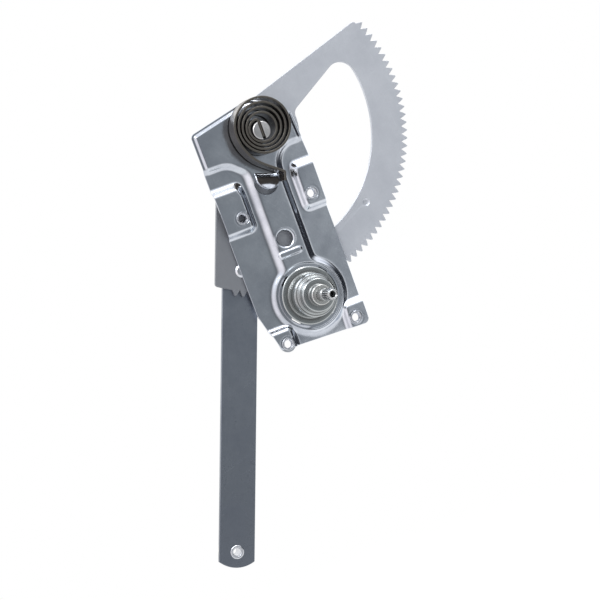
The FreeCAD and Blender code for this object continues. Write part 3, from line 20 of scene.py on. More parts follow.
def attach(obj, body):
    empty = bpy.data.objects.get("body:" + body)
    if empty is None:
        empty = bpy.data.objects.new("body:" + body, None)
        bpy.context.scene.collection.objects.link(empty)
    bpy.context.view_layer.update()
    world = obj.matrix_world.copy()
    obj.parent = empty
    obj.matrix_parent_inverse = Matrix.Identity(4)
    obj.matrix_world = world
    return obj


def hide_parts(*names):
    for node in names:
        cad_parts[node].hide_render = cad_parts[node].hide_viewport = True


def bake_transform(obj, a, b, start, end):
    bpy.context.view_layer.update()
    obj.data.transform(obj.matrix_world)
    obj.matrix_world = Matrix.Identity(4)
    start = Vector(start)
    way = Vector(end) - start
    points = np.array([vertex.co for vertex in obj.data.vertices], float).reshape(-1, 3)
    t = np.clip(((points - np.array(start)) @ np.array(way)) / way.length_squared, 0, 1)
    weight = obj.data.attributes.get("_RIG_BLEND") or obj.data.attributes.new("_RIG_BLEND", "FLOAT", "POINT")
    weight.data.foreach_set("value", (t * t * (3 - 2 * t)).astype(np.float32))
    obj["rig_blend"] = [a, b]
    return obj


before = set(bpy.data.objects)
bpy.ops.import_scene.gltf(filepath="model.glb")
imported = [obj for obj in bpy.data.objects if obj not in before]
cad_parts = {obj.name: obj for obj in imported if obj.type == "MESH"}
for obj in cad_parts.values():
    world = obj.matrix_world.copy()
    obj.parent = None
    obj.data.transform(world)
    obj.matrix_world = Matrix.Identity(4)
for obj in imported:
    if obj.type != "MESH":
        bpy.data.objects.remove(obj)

LOG = logging.getLogger("window_regulator")
Array = np.ndarray
Colour = tuple[float, float, float]
MM = 0.001
# Near black that negative marks mix towards: painted shade.
PAINTED_SHADE_COLOUR = (0.035, 0.036, 0.036)

# Places that several pieces share, in millimetres
PIVOT = (4.0, 117.694)
CRANK = (0.0, -24.0)
ROLLER = (-130.443, -200.687)
NUT_X, NUT_Z = 31.5, 55.0
TONGUE = (0.0, 82.494)
TONGUE_TILT = 18.0
TONGUE_HALF = 10.0
TAB_ANGLES = (41.0, 131.0, 221.0, 311.0)
PLATEAU_FRONT = 1.0
LOW_FRONT = 4.5
SHEET = 2.0
ARM_ANGLE = 21.5


def rounded_loop(corners: list[tuple[float, float]], radii: list[float], steps: int = 9) -> Array:
    """A closed outline whose corners are arcs.

    Each corner's two sides are cut back by the radius times the tangent of half the turn, and
    the arc's centre stands a radius to the inner side of the first cut.

    Args:
        corners: The outline's corners, anticlockwise.
        radii: The radius at each corner, 0 where it stays sharp.
        steps: Points along each arc.

    Returns:
        Points along the outline, one row each.
    """
    points = np.asarray(corners, float)
    radius = np.asarray(radii, float)[:, None]
    before = points - np.roll(points, 1, axis=0)
    after = np.roll(points, -1, axis=0) - points
    before /= np.linalg.norm(before, axis=1, keepdims=True)
    after /= np.linalg.norm(after, axis=1, keepdims=True)
    turn = np.arctan2(before[:, 0] * after[:, 1] - before[:, 1] * after[:, 0],
                      (before * after).sum(axis=1))[:, None]
    side = np.sign(turn)
    normal = np.stack([-before[:, 1], before[:, 0]], axis=1) * side
    start = points - before * np.abs(np.tan(turn / 2)) * radius
    centre = start + normal * radius
    part = turn * np.linspace(0.0, 1.0, steps)[None, :]
    spoke = -normal * radius
    x = centre[:, :1] + spoke[:, :1] * np.cos(part) - spoke[:, 1:] * np.sin(part)
    z = centre[:, 1:] + spoke[:, :1] * np.sin(part) + spoke[:, 1:] * np.cos(part)
    loop = np.stack([x.ravel(), z.ravel()], axis=1)
    step = np.linalg.norm(loop - np.roll(loop, 1, axis=0), axis=1)
    return loop[step > 1e-6]


def circle_loop(centre: tuple[float, float], radius: float, count: int = 72) -> Array:
    """Points on a circle: the centre plus the radius along each of count directions."""
    turn = np.linspace(0.0, 2 * np.pi, count, endpoint=False)
    return np.asarray(centre) + radius * np.stack([np.cos(turn), np.sin(turn)], axis=1)


def bar_loop(centre: tuple[float, float], length: float, width: float, degrees: float) -> Array:
    """A rectangle of a length along a direction and a width across it, about its centre.

    Args:
        centre: Its middle.
        length: Its size along the direction.
        width: Its size across the direction.
        degrees: The direction, anticlockwise from +X.

    Returns:
        The outline's points, with rounded corners.
    """
    turn = math.radians(degrees)
    along = np.array([math.cos(turn), math.sin(turn)]) * length / 2
    across = np.array([-math.sin(turn), math.cos(turn)]) * width / 2
    middle = np.asarray(centre)
    corners = [middle - along - across, middle + along - across,
               middle + along + across, middle - along + across]
    return rounded_loop([tuple(corner) for corner in corners], [width * 0.18] * 4, 4)


def signed_distance(points: Array, loop: Array) -> Array:
    """Distance from points to a closed outline, negative inside it.

    A point is projected on every side, the foot is clamped to the side's ends, and the least
    distance counts. It is inside where a ray to the right crosses the outline an odd number
    of times.

    Args:
        points: One point a row.
        loop: The outline's points.

    Returns:
        One distance for each point.
    """
    ends = np.roll(loop, -1, axis=0)
    side = ends - loop
    square = np.maximum((side * side).sum(axis=1), 1e-18)
    pieces = []
    for block in np.array_split(points, max(1, len(points) // 4000)):
        gap = block[:, None, :] - loop[None, :, :]
        share = np.clip((gap * side).sum(axis=2) / square, 0.0, 1.0)
        away = gap - share[:, :, None] * side
        least = np.sqrt((away * away).sum(axis=2).min(axis=1))
        above = loop[None, :, 1] > block[:, None, 1]
        above_end = ends[None, :, 1] > block[:, None, 1]
        rise = np.where(side[:, 1] == 0.0, 1e-12, side[:, 1])
        cross_x = loop[:, 0] + (block[:, None, 1] - loop[:, 1]) * side[:, 0] / rise
        crossings = ((above != above_end) & (cross_x > block[:, None, 0])).sum(axis=1)
        pieces.append(np.where(crossings % 2 == 1, -least, least))
    return np.concatenate(pieces)


def soft_step(value: Array) -> Array:
    """0 below 0, 1 above 1, and 3 v^2 - 2 v^3 between."""
    share = np.clip(value, 0.0, 1.0)
    return share * share * (3.0 - 2.0 * share)


def blurred(field_values: Array, sigma: float) -> Array:
    """A grid of values smoothed with a bell curve along both of its sides.

    Args:
        field_values: The grid.
        sigma: The bell curve's width, in grid steps.

    Returns:
        The smoothed grid, with its edge values carried on outwards.
    """
    reach = int(math.ceil(sigma * 3))
    offsets = np.arange(-reach, reach + 1)
    bell = np.exp(-0.5 * (offsets / sigma) ** 2)
    bell /= bell.sum()
    result = field_values
    for axis in (0, 1):
        padding = [(0, 0), (0, 0)]
        padding[axis] = (reach, reach)
        wide = np.pad(result, padding, mode="edge")
        length = result.shape[axis]
        result = sum(weight * np.take(wide, np.arange(shift, shift + length), axis=axis)
                     for shift, weight in enumerate(bell))
    return result


@dataclass
class Surface:
    """Points, faces and one number a point, gathered before they become a mesh."""

    points: list[Array] = field(default_factory=list)
    faces: list[list[tuple[int, ...]]] = field(default_factory=list)
    marks: list[Array] = field(default_factory=list)

    def count(self) -> int:
        """How many points it has so far."""
        return sum(len(block) for block in self.points)

    def add(self, points: Array, faces: Array, mark: Array | float = 0.0) -> None:
        """Add points with faces that count from the first of them.

        Args:
            points: One point a row, in millimetres.
            faces: One face a row, as point numbers.
            mark: The number that the finish reads, for all points or one each.
        """
        base = self.count()
        self.points.append(np.asarray(points, float))
        self.faces.append([tuple(row) for row in (np.asarray(faces) + base).tolist()])
        self.marks.append(np.broadcast_to(np.asarray(mark, float), (len(points),)))

    def add_grid(self, grid: Array, close_u: bool = False, close_v: bool = False,
                 mark: Array | float = 0.0) -> None:
        """Add a surface over two parameters.

        Args:
            grid: Points over u and v, with x, y and z last.
            close_u: Whether the last row of u joins the first.
            close_v: Whether the last of v joins the first.
            mark: The number that the finish reads, for all points or one each.
        """
        rows, columns = grid.shape[:2]
        number = np.arange(rows * columns).reshape(rows, columns)
        right = np.roll(number, -1, axis=0)
        up = np.roll(number, -1, axis=1)
        corner = np.roll(right, -1, axis=1)
        quads = np.stack([number, right, corner, up], axis=2)
        quads = quads[: rows if close_u else rows - 1, : columns if close_v else columns - 1]
        values = mark.ravel() if isinstance(mark, np.ndarray) else mark
        self.add(grid.reshape(-1, 3), quads.reshape(-1, 4), values)

    def write(self, name: str, sharp: float = 34.0) -> bpy.types.Object:
        """Make the mesh object: doubles merged, faces turned outwards and shaded smooth.

        Args:
            name: The piece's name.
            sharp: Edges that turn more than this many degrees stay crisp.

        Returns:
            The new object at the origin.
        """
        mesh = bpy.data.meshes.new(name)
        points = np.concatenate(self.points) * MM
        faces = [face for block in self.faces for face in block]
        mesh.from_pydata(points, [], faces)
        layer = mesh.attributes.new("mark", "FLOAT", "POINT")
        layer.data.foreach_set("value", np.concatenate(self.marks).astype(np.float32))
        work = bmesh.new()
        work.from_mesh(mesh)
        bmesh.ops.remove_doubles(work, verts=work.verts, dist=2e-6)
        bmesh.ops.dissolve_degenerate(work, edges=work.edges, dist=1e-7)
        bmesh.ops.recalc_face_normals(work, faces=work.faces)
        work.to_mesh(mesh)
        work.free()
        return shaded(mesh, name, sharp)


def shaded(mesh: bpy.types.Mesh, name: str, sharp: float) -> bpy.types.Object:
    """An object for a mesh, smooth except along edges that turn more than sharp degrees.

    Args:
        mesh: The finished mesh.
        name: The object's name.
        sharp: The least turn of a crisp edge, in degrees.

    Returns:
        The new object.
    """
    mesh.shade_smooth()
    mesh.set_sharp_from_angle(angle=math.radians(sharp))
    piece = bpy.data.objects.new(name, mesh)
    bpy.context.scene.collection.objects.link(piece)
    return piece


def softened_copy(node: str, name: str, bevel: float) -> bpy.types.Object:
    """A copy of a CAD node with its edges broken as tumbling and plating leave them.

    Args:
        node: The CAD node.
        name: The new piece's name.
        bevel: The width of the broken edges, in millimetres.

    Returns:
        The new object.
    """
    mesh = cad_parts[node].data.copy()
    mesh.materials.clear()
    work = bmesh.new()
    work.from_mesh(mesh)
    bmesh.ops.remove_doubles(work, verts=work.verts, dist=2e-6)
    bmesh.ops.dissolve_limit(work, angle_limit=math.radians(0.6), verts=work.verts,
                             edges=work.edges, use_dissolve_boundaries=False)
    work.to_mesh(mesh)
    work.free()
    piece = shaded(mesh, name, 30.0)
    edge = piece.modifiers.new("broken edges", "BEVEL")
    edge.width = bevel * MM
    edge.segments = 2
    edge.limit_method = "ANGLE"
    edge.angle_limit = math.radians(32)
    edge.use_clamp_overlap = False
    edge.harden_normals = True
    return piece


def turned_grid(profile: Array, centre: tuple[float, float], segments: int) -> Array:
    """A profile carried round an axis along Y.

    A profile point (r, y) becomes (x0 + r cos t, y, z0 + r sin t) for each turn t.

    Args:
        profile: Radius and Y of each profile point, one a row.
        centre: The axis's X and Z.
        segments: Steps round the axis.

    Returns:
        Points over the turn and the profile.
    """
    turn = np.linspace(0.0, 2 * np.pi, segments, endpoint=False)[:, None]
    radius = profile[None, :, 0]
    height = np.broadcast_to(profile[None, :, 1], (segments, len(profile)))
    return np.stack([centre[0] + radius * np.cos(turn), height,
                     centre[1] + radius * np.sin(turn)], axis=2)


def drawn_profile(corners: list[tuple[float, float, float]], steps: int = 5) -> Array:
    """A closed profile from corners of (radius, y, rounding), each rounding made an arc."""
    table = np.asarray(corners, float)
    return rounded_loop([tuple(row) for row in table[:, :2]], list(table[:, 2]), steps)


class Value:
    """A number or colour socket that takes Python's operators."""

    def __init__(self, tree: "ShaderTree", socket: bpy.types.NodeSocket) -> None:
        """Keep the tree and the socket."""
        self.tree = tree
        self.socket = socket

    def __add__(self, other: "Value | float") -> "Value":
        """Sum."""
        return self.tree.maths("ADD", self, other)

    __radd__ = __add__

    def __mul__(self, other: "Value | float") -> "Value":
        """Product."""
        return self.tree.maths("MULTIPLY", self, other)

    __rmul__ = __mul__

    def __sub__(self, other: "Value | float") -> "Value":
        """Difference."""
        return self.tree.maths("SUBTRACT", self, other)

    def __rsub__(self, other: "Value | float") -> "Value":
        """Difference, the other way round."""
        return self.tree.maths("SUBTRACT", other, self)

    def __pow__(self, other: "Value | float") -> "Value":
        """Power."""
        return self.tree.maths("POWER", self, other)


class ShaderTree:
    """A material's or world's node tree, built from expressions."""

    def __init__(self, tree: bpy.types.NodeTree) -> None:
        """Empty the tree."""
        self.tree = tree
        tree.nodes.clear()

    def node(self, kind: str, settings: dict[str, object] | None = None,
             **values: object) -> bpy.types.Node:
        """Add one node.

        Args:
            kind: The node's type, without its ShaderNode prefix.
            settings: Attributes that are set before the sockets.
            values: Numbers, colours or links for the sockets, by name with _ for a space.

        Returns:
            The node.
        """
        made = self.tree.nodes.new("ShaderNode" + kind)
        for key, setting in (settings or {}).items():
            setattr(made, key, setting)
        for key, value in values.items():
            name = key.replace("_", " ").strip()
            socket = made.inputs[int(name)] if name.isdigit() else made.inputs[name]
            if isinstance(value, Value):
                self.tree.links.new(value.socket, socket)
            else:
                socket.default_value = value
        return made

    def out(self, made: bpy.types.Node, name: str | int = 0) -> Value:
        """One of a node's outputs as a value."""
        return Value(self, made.outputs[name])

    def maths(self, operation: str, first: "Value | float", second: "Value | float" = 0.0) -> Value:
        """A Math node on two values or numbers.

        Args:
            operation: The node's operation.
            first: Its first number or link.
            second: Its second number or link.

        Returns:
            The node's result.
        """
        made = self.tree.nodes.new("ShaderNodeMath")
        made.operation = operation
        for index, item in enumerate((first, second)):
            if isinstance(item, Value):
                self.tree.links.new(item.socket, made.inputs[index])
            else:
                made.inputs[index].default_value = float(item)
        return Value(self, made.outputs[0])

    def limited(self, value: Value, low: float, high: float) -> Value:
        """A value stretched so that low becomes 0 and high becomes 1, and clamped."""
        made = self.node("MapRange", {"clamp": True}, Value=value, From_Min=low, From_Max=high)
        return self.out(made, "Result")

    def smooth(self, value: Value, low: float, high: float) -> Value:
        """A value stretched from low and high to 0 and 1 along an S-shaped curve."""
        made = self.node("MapRange", {"interpolation_type": "SMOOTHSTEP"}, Value=value,
                         From_Min=low, From_Max=high)
        return self.out(made, "Result")

    def mixed(self, share: "Value | float", first: "Value | Colour",
              second: "Value | Colour") -> Value:
        """Two colours mixed by a share.

        Args:
            share: How much of the second colour shows.
            first: The colour at share 0.
            second: The colour at share 1.

        Returns:
            The mixed colour.
        """
        made = self.tree.nodes.new("ShaderNodeMix")
        made.data_type = "RGBA"
        sockets = [made.inputs[0], made.inputs[6], made.inputs[7]]
        for socket, item in zip(sockets, (share, first, second)):
            if isinstance(item, Value):
                self.tree.links.new(item.socket, socket)
            elif isinstance(item, tuple):
                socket.default_value = (*item, 1.0)
            else:
                socket.default_value = item
        return Value(self, made.outputs[2])

    def place(self, stretch: Colour = (1.0, 1.0, 1.0), turn: Colour = (0.0, 0.0, 0.0),
              centre: Colour = (0.0, 0.0, 0.0)) -> Value:
        """Object coordinates, moved to a centre, turned by degrees and stretched.

        Args:
            stretch: How much each axis is stretched after the turn.
            turn: Degrees about each axis.
            centre: The place that becomes zero, in metres.

        Returns:
            The coordinates.
        """
        coordinates = self.out(self.node("TexCoord"), "Object")
        moved = self.node("Mapping", {"vector_type": "POINT"}, Vector=coordinates,
                          Location=tuple(-value for value in centre))
        turned = self.node("Mapping", {"vector_type": "POINT"}, Vector=self.out(moved),
                           Rotation=tuple(math.radians(value) for value in turn))
        scaled = self.node("Mapping", {"vector_type": "POINT"}, Vector=self.out(turned),
                           Scale=stretch)
        return self.out(scaled)

    def noise(self, place: Value, scale: float, detail: float = 3.0,
              roughness: float = 0.55) -> Value:
        """Noise at a place, from about 0.3 to 0.7."""
        made = self.node("TexNoise", None, Vector=place, Scale=scale, Detail=detail,
                         Roughness=roughness)
        return self.out(made, 0)

    def spots(self, place: Value, scale: float) -> Value:
        """Distance to the nearest of many scattered points, 0 at each point."""
        made = self.node("TexVoronoi", None, Vector=place, Scale=scale)
        return self.out(made, "Distance")

    def mark(self) -> Value:
        """The number that a mesh carries at each of its points."""
        return self.out(self.node("Attribute", {"attribute_name": "mark"}), "Fac")

    def axes(self, place: Value) -> tuple[Value, Value, Value]:
        """A place's three parts."""
        split = self.node("SeparateXYZ", None, Vector=place)
        return self.out(split, 0), self.out(split, 1), self.out(split, 2)

    def shader(self, body: Value, rough: Value, relief: Value, bump: tuple[float, float],
               metal: float = 0.0, coat: tuple[float, float] = (0.0, 0.03)) -> bpy.types.Node:
        """A Principled node whose normal comes from a bump.

        Args:
            body: Its base colour.
            rough: Its roughness.
            relief: The bump's height.
            bump: The bump's strength and its distance in metres.
            metal: How metallic it is.
            coat: The weight and roughness of its coat.

        Returns:
            The node.
        """
        raised = self.node("Bump", None, Strength=bump[0], Distance=bump[1], Height=relief)
        return self.node("BsdfPrincipled", None, Base_Color=body, Metallic=metal, Roughness=rough,
                         Normal=self.out(raised), Coat_Weight=coat[0], Coat_Roughness=coat[1])


class Grain(Enum):
    """How a surface was worked before plating."""

    ROLLED = "rolled"
    TURNED = "turned"
    STAMPED = "stamped"


@dataclass(frozen=True)
class Finish(ABC):
    """What a piece is made of, as a material of nodes."""

    name: str

    @abstractmethod
    def surface(self, tree: ShaderTree) -> bpy.types.Node:
        """Add the finish's own nodes and give back its shader.

        Args:
            tree: The material's tree.

        Returns:
            The shader node.
        """

    def build(self) -> bpy.types.Material:
        """Make the material.

        Returns:
            The material.
        """
        material = bpy.data.materials.new(self.name)
        material.use_nodes = True
        tree = ShaderTree(material.node_tree)
        tree.node("OutputMaterial", None, Surface=tree.out(self.surface(tree)))
        return material


@dataclass(frozen=True)
class ZincFinish(Finish):
    """Bright zinc plating on steel: cloudy, finely grained, with worn scratches.

    A mesh's mark above 0 brightens it, for wear with painted highlight along folds and edges,
    and below 0 darkens it towards near black, as painted shade. Along one axis the colour may
    grow darker from one place to another, in metres.
    """

    colour: Colour
    shade: Colour
    roughness: float
    grain: Grain
    centre: tuple[float, float] = (0.0, 0.0)
    direction: float = 0.0
    speckle: float = 0.25
    cloud: float = 1.0
    metal: float = 1.0
    darken_axis: int = 0
    darken_from: float = -10.0
    darken_to: float = -20.0
    darken_factor: float = 0.6

    def _grain_place(self, tree: ShaderTree) -> Value:
        """Coordinates whose short side lies across the working marks.

        Args:
            tree: The material's tree.

        Returns:
            The coordinates that the grain's noise reads.
        """
        if self.grain is Grain.TURNED:
            centre = (self.centre[0] * MM, 0.0, self.centre[1] * MM)
            across, along, up = tree.axes(tree.place(centre=centre))
            radius = (across * across + up * up) ** 0.5
            made = tree.node("CombineXYZ", None, X=radius * 4200.0, Y=along * 4200.0, Z=0.0)
            return tree.out(made)
        stretch = (3000.0, 3000.0, 60.0) if self.grain is Grain.ROLLED else (900.0, 900.0, 500.0)
        return tree.place(stretch=stretch, turn=(0.0, -self.direction, 0.0))

    def surface(self, tree: ShaderTree) -> bpy.types.Node:
        """Add the finish's own nodes and give back its shader.

        Args:
            tree: The material's tree.

        Returns:
            The shader node.
        """
        flat = tree.place()
        cloud = tree.limited(tree.noise(flat, 34.0, 4.0, 0.6), 0.34, 0.68)
        frost = tree.noise(flat, 620.0, 5.0, 0.7)
        grain = tree.noise(self._grain_place(tree), 1.0, 3.0, 0.6)
        pits = 1.0 - tree.limited(tree.spots(flat, 760.0), 0.02, 0.2)
        patchy = tree.limited(tree.noise(flat, 150.0, 2.0), 0.52, 0.68)
        specks = pits * patchy
        lines = tree.place(stretch=(2600.0, 2600.0, 36.0), turn=(0.0, 37.0 - self.direction, 0.0))
        crossed = tree.place(stretch=(36.0, 1900.0, 1900.0), turn=(0.0, 14.0, 0.0))
        scratches = (tree.limited(tree.noise(lines, 1.0, 1.0), 0.66, 0.74)
                     + tree.limited(tree.noise(crossed, 1.0, 1.0), 0.68, 0.76))
        point_mark = tree.mark()
        body = tree.mixed(cloud * (0.75 * self.cloud), self.colour, self.shade)
        body = tree.mixed(tree.limited(frost, 0.35, 0.75) * 0.3, body, self.shade)
        body = tree.mixed(specks * self.speckle, body, tuple(value * 0.45 for value in self.shade))
        bright = tuple(min(1.0, value * 1.22) for value in self.colour)
        # Positive marks and scratches brighten the colour: wear, with painted highlight along folds and
        # edges.
        body = tree.mixed(tree.maths("MINIMUM", point_mark * 0.6 + scratches * 0.22, 0.8), body, bright)
        # Darker along one axis: on the sector this is painted shadow of the plate, on the arm it darkens
        # towards its lower end.
        along = tree.axes(flat)[self.darken_axis]
        darkening = tree.smooth(along * -1.0, -self.darken_from, -self.darken_to)
        body = tree.mixed(darkening * 0.85, body, tuple(value * self.darken_factor for value in self.shade))
        # Negative marks mix towards near black: painted shade in the housing's corners and tabs and in the
        # shaft's grooves.
        painted_shade = tree.limited(point_mark, -0.1, -1.0)
        body = tree.mixed(painted_shade * 0.9, body, PAINTED_SHADE_COLOUR)
        rough = (frost - 0.5) * 0.22 + (cloud - 0.5) * 0.07 + (grain - 0.5) * 0.16
        rough = rough + specks * 0.2 - scratches * 0.05 + painted_shade * 0.4 + self.roughness
        relief = grain * 0.55 + frost * 0.5 - specks * 0.9 - scratches * 0.35
        return tree.shader(body, rough, relief, (0.5, 0.00006), self.metal)


@dataclass(frozen=True)
class SpringFinish(Finish):
    """Oil-tempered strip: nearly black faces under a film of oil, paler sheared edges."""

    name: str = "oiled_spring_strip"
    face: Colour = (0.062, 0.052, 0.043)
    edge: Colour = (0.115, 0.108, 0.096)
    roughness: float = 0.3

    def surface(self, tree: ShaderTree) -> bpy.types.Node:
        """Add the finish's own nodes and give back its shader.

        Args:
            tree: The material's tree.

        Returns:
            The shader node.
        """
        flat = tree.place()
        cloud = tree.limited(tree.noise(flat, 90.0, 4.0, 0.65), 0.35, 0.7)
        grit = tree.noise(flat, 1500.0, 4.0, 0.7)
        drawn = tree.noise(tree.place(stretch=(500.0, 4200.0, 500.0)), 1.0, 2.0)
        point_mark = tree.limited(tree.mark() + (grit - 0.5) * 0.5, 0.25, 0.9)
        rust = tree.limited(tree.noise(flat, 260.0, 3.0), 0.56, 0.72)
        face = tree.mixed(cloud * 0.6, self.face, tuple(value * 0.55 for value in self.face))
        face = tree.mixed(rust * 0.35, face, (0.11, 0.07, 0.042))
        body = tree.mixed(point_mark * 0.9, face, self.edge)
        rough = (grit - 0.5) * 0.3 + (drawn - 0.5) * 0.2 + point_mark * 0.08 + self.roughness
        return tree.shader(body, rough, drawn * 0.6 + grit, (0.35, 0.00006), 0.85, (0.25, 0.18))


@dataclass(frozen=True)
class GreasedSteel(Finish):
    """Hardened steel behind the plate, with a film of grease gathered in patches."""

    colour: Colour = (0.4, 0.385, 0.36)
    grease: Colour = (0.22, 0.17, 0.1)
    roughness: float = 0.36

    def surface(self, tree: ShaderTree) -> bpy.types.Node:
        """Add the finish's own nodes and give back its shader.

        Args:
            tree: The material's tree.

        Returns:
            The shader node.
        """
        flat = tree.place()
        film = tree.limited(tree.noise(flat, 210.0, 4.0, 0.6), 0.45, 0.66)
        grit = tree.noise(flat, 1700.0, 4.0, 0.7)
        body = tree.mixed(film * 0.7, self.colour, self.grease)
        body = tree.mixed(tree.limited(grit, 0.4, 0.8) * 0.3, body, (0.2, 0.19, 0.18))
        rough = (grit - 0.5) * 0.25 - film * 0.12 + self.roughness
        return tree.shader(body, rough, grit + film * 0.8, (0.3, 0.00005), 0.9, (0.3, 0.25))


@dataclass(frozen=True)
class MouldedFinish(Finish):
    """Moulded plastic or rubber: fine spark texture, flow clouding and rubbed high spots."""

    colour: Colour
    rubbed: Colour
    roughness: float

    def surface(self, tree: ShaderTree) -> bpy.types.Node:
        """Add the finish's own nodes and give back its shader.

        Args:
            tree: The material's tree.

        Returns:
            The shader node.
        """
        flat = tree.place()
        flow = tree.limited(tree.noise(flat, 120.0, 3.0), 0.35, 0.7)
        spark = tree.noise(flat, 2400.0, 3.0, 0.6)
        smear = tree.limited(tree.noise(tree.place(stretch=(300.0, 1600.0, 300.0)), 1.0), 0.52, 0.7)
        body = tree.mixed(flow * 0.35, self.colour, tuple(value * 0.86 for value in self.colour))
        body = tree.mixed(smear * 0.4, body, self.rubbed)
        rough = (spark - 0.5) * 0.2 - smear * 0.08 + self.roughness
        return tree.shader(body, rough, spark, (0.25, 0.00004))


PLATE_ZINC = ZincFinish("plate_zinc", (0.64, 0.675, 0.73), (0.44, 0.47, 0.53), 0.15,
                        Grain.STAMPED, speckle=0.45, cloud=1.15)
# The sector grows darker towards -X: painted shadow of the plate over it.
SECTOR_ZINC = ZincFinish("sector_zinc", (0.56, 0.585, 0.63), (0.44, 0.465, 0.51), 0.4,
                         Grain.ROLLED, direction=30.0, speckle=0.3, metal=0.55,
                         darken_from=0.03, darken_to=-0.05, darken_factor=0.38)
# The arm grows darker towards its lower end, along Z.
ARM_ZINC = ZincFinish("arm_zinc", (0.33, 0.36, 0.41), (0.21, 0.235, 0.28), 0.33, Grain.ROLLED,
                      direction=ARM_ANGLE, speckle=0.95, cloud=1.2,
                      darken_axis=2, darken_from=-0.02, darken_to=-0.24, darken_factor=0.7)
HOUSING_ZINC = ZincFinish("housing_zinc", (0.5, 0.525, 0.53), (0.34, 0.36, 0.36), 0.17,
                          Grain.TURNED, CRANK, speckle=0.2)
SHAFT_ZINC = ZincFinish("shaft_zinc", (0.54, 0.555, 0.56), (0.34, 0.355, 0.355), 0.2,
                        Grain.TURNED, CRANK, speckle=0.35)
PIN_ZINC = ZincFinish("pin_zinc", (0.7, 0.7, 0.7), (0.4, 0.4, 0.405), 0.34, Grain.STAMPED,
                      speckle=0.7, cloud=1.2)
FASTENER_ZINC = ZincFinish("fastener_zinc", (0.74, 0.76, 0.8), (0.55, 0.57, 0.62), 0.22,
                           Grain.STAMPED, speckle=0.3)
BUSH_STEEL = ZincFinish("bush_steel", (0.78, 0.78, 0.76), (0.58, 0.58, 0.56), 0.2, Grain.TURNED,
                        CRANK, speckle=0.2)
SPRING_STRIP = SpringFinish()
GEAR_STEEL = GreasedSteel("greased_gear_steel")
ROLLER_PLASTIC = MouldedFinish("roller_plastic", (0.8, 0.79, 0.74), (0.62, 0.6, 0.55), 0.42)
BUSH_PLASTIC = MouldedFinish("bearing_plastic", (0.7, 0.68, 0.6), (0.5, 0.48, 0.42), 0.45)
SEAL_RUBBER = MouldedFinish("seal_rubber", (0.03, 0.03, 0.032), (0.07, 0.07, 0.07), 0.62)


@dataclass
class Workshop:
    """Hands out materials and puts pieces on their bodies."""

    made: dict[str, bpy.types.Material] = field(default_factory=dict)
    pieces: int = 0

    def material(self, finish: Finish) -> bpy.types.Material:
        """The finish's material, made once."""
        if finish.name not in self.made:
            self.made[finish.name] = finish.build()
        return self.made[finish.name]

    def fit(self, piece: bpy.types.Object, finish: Finish, body: str, slot: str,
            *nodes: str) -> bpy.types.Object:
        """Dress a piece, put it on its body and let it stand for CAD nodes.

        Args:
            piece: The piece.
            finish: Its finish.
            body: The body that it rides on.
            slot: A material slot's name; not used.
            nodes: The CAD nodes that it replaces.

        Returns:
            The piece.
        """
        piece.data.materials.clear()
        piece.data.materials.append(self.material(finish))
        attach(piece, body)
        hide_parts(*nodes)
        self.pieces += 1
        LOG.info("%s on %s: %d faces", piece.name, body, len(piece.data.polygons))
        return piece

    def dress_node(self, node: str, finish: Finish) -> None:
        """Give a CAD node that keeps its shape its finish.

        Args:
            node: The CAD node.
            finish: Its finish.
        """
        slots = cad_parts[node].material_slots
        for entry in slots:
            entry.material = self.material(finish)
        LOG.info("%s dressed with %s", node, finish.name)


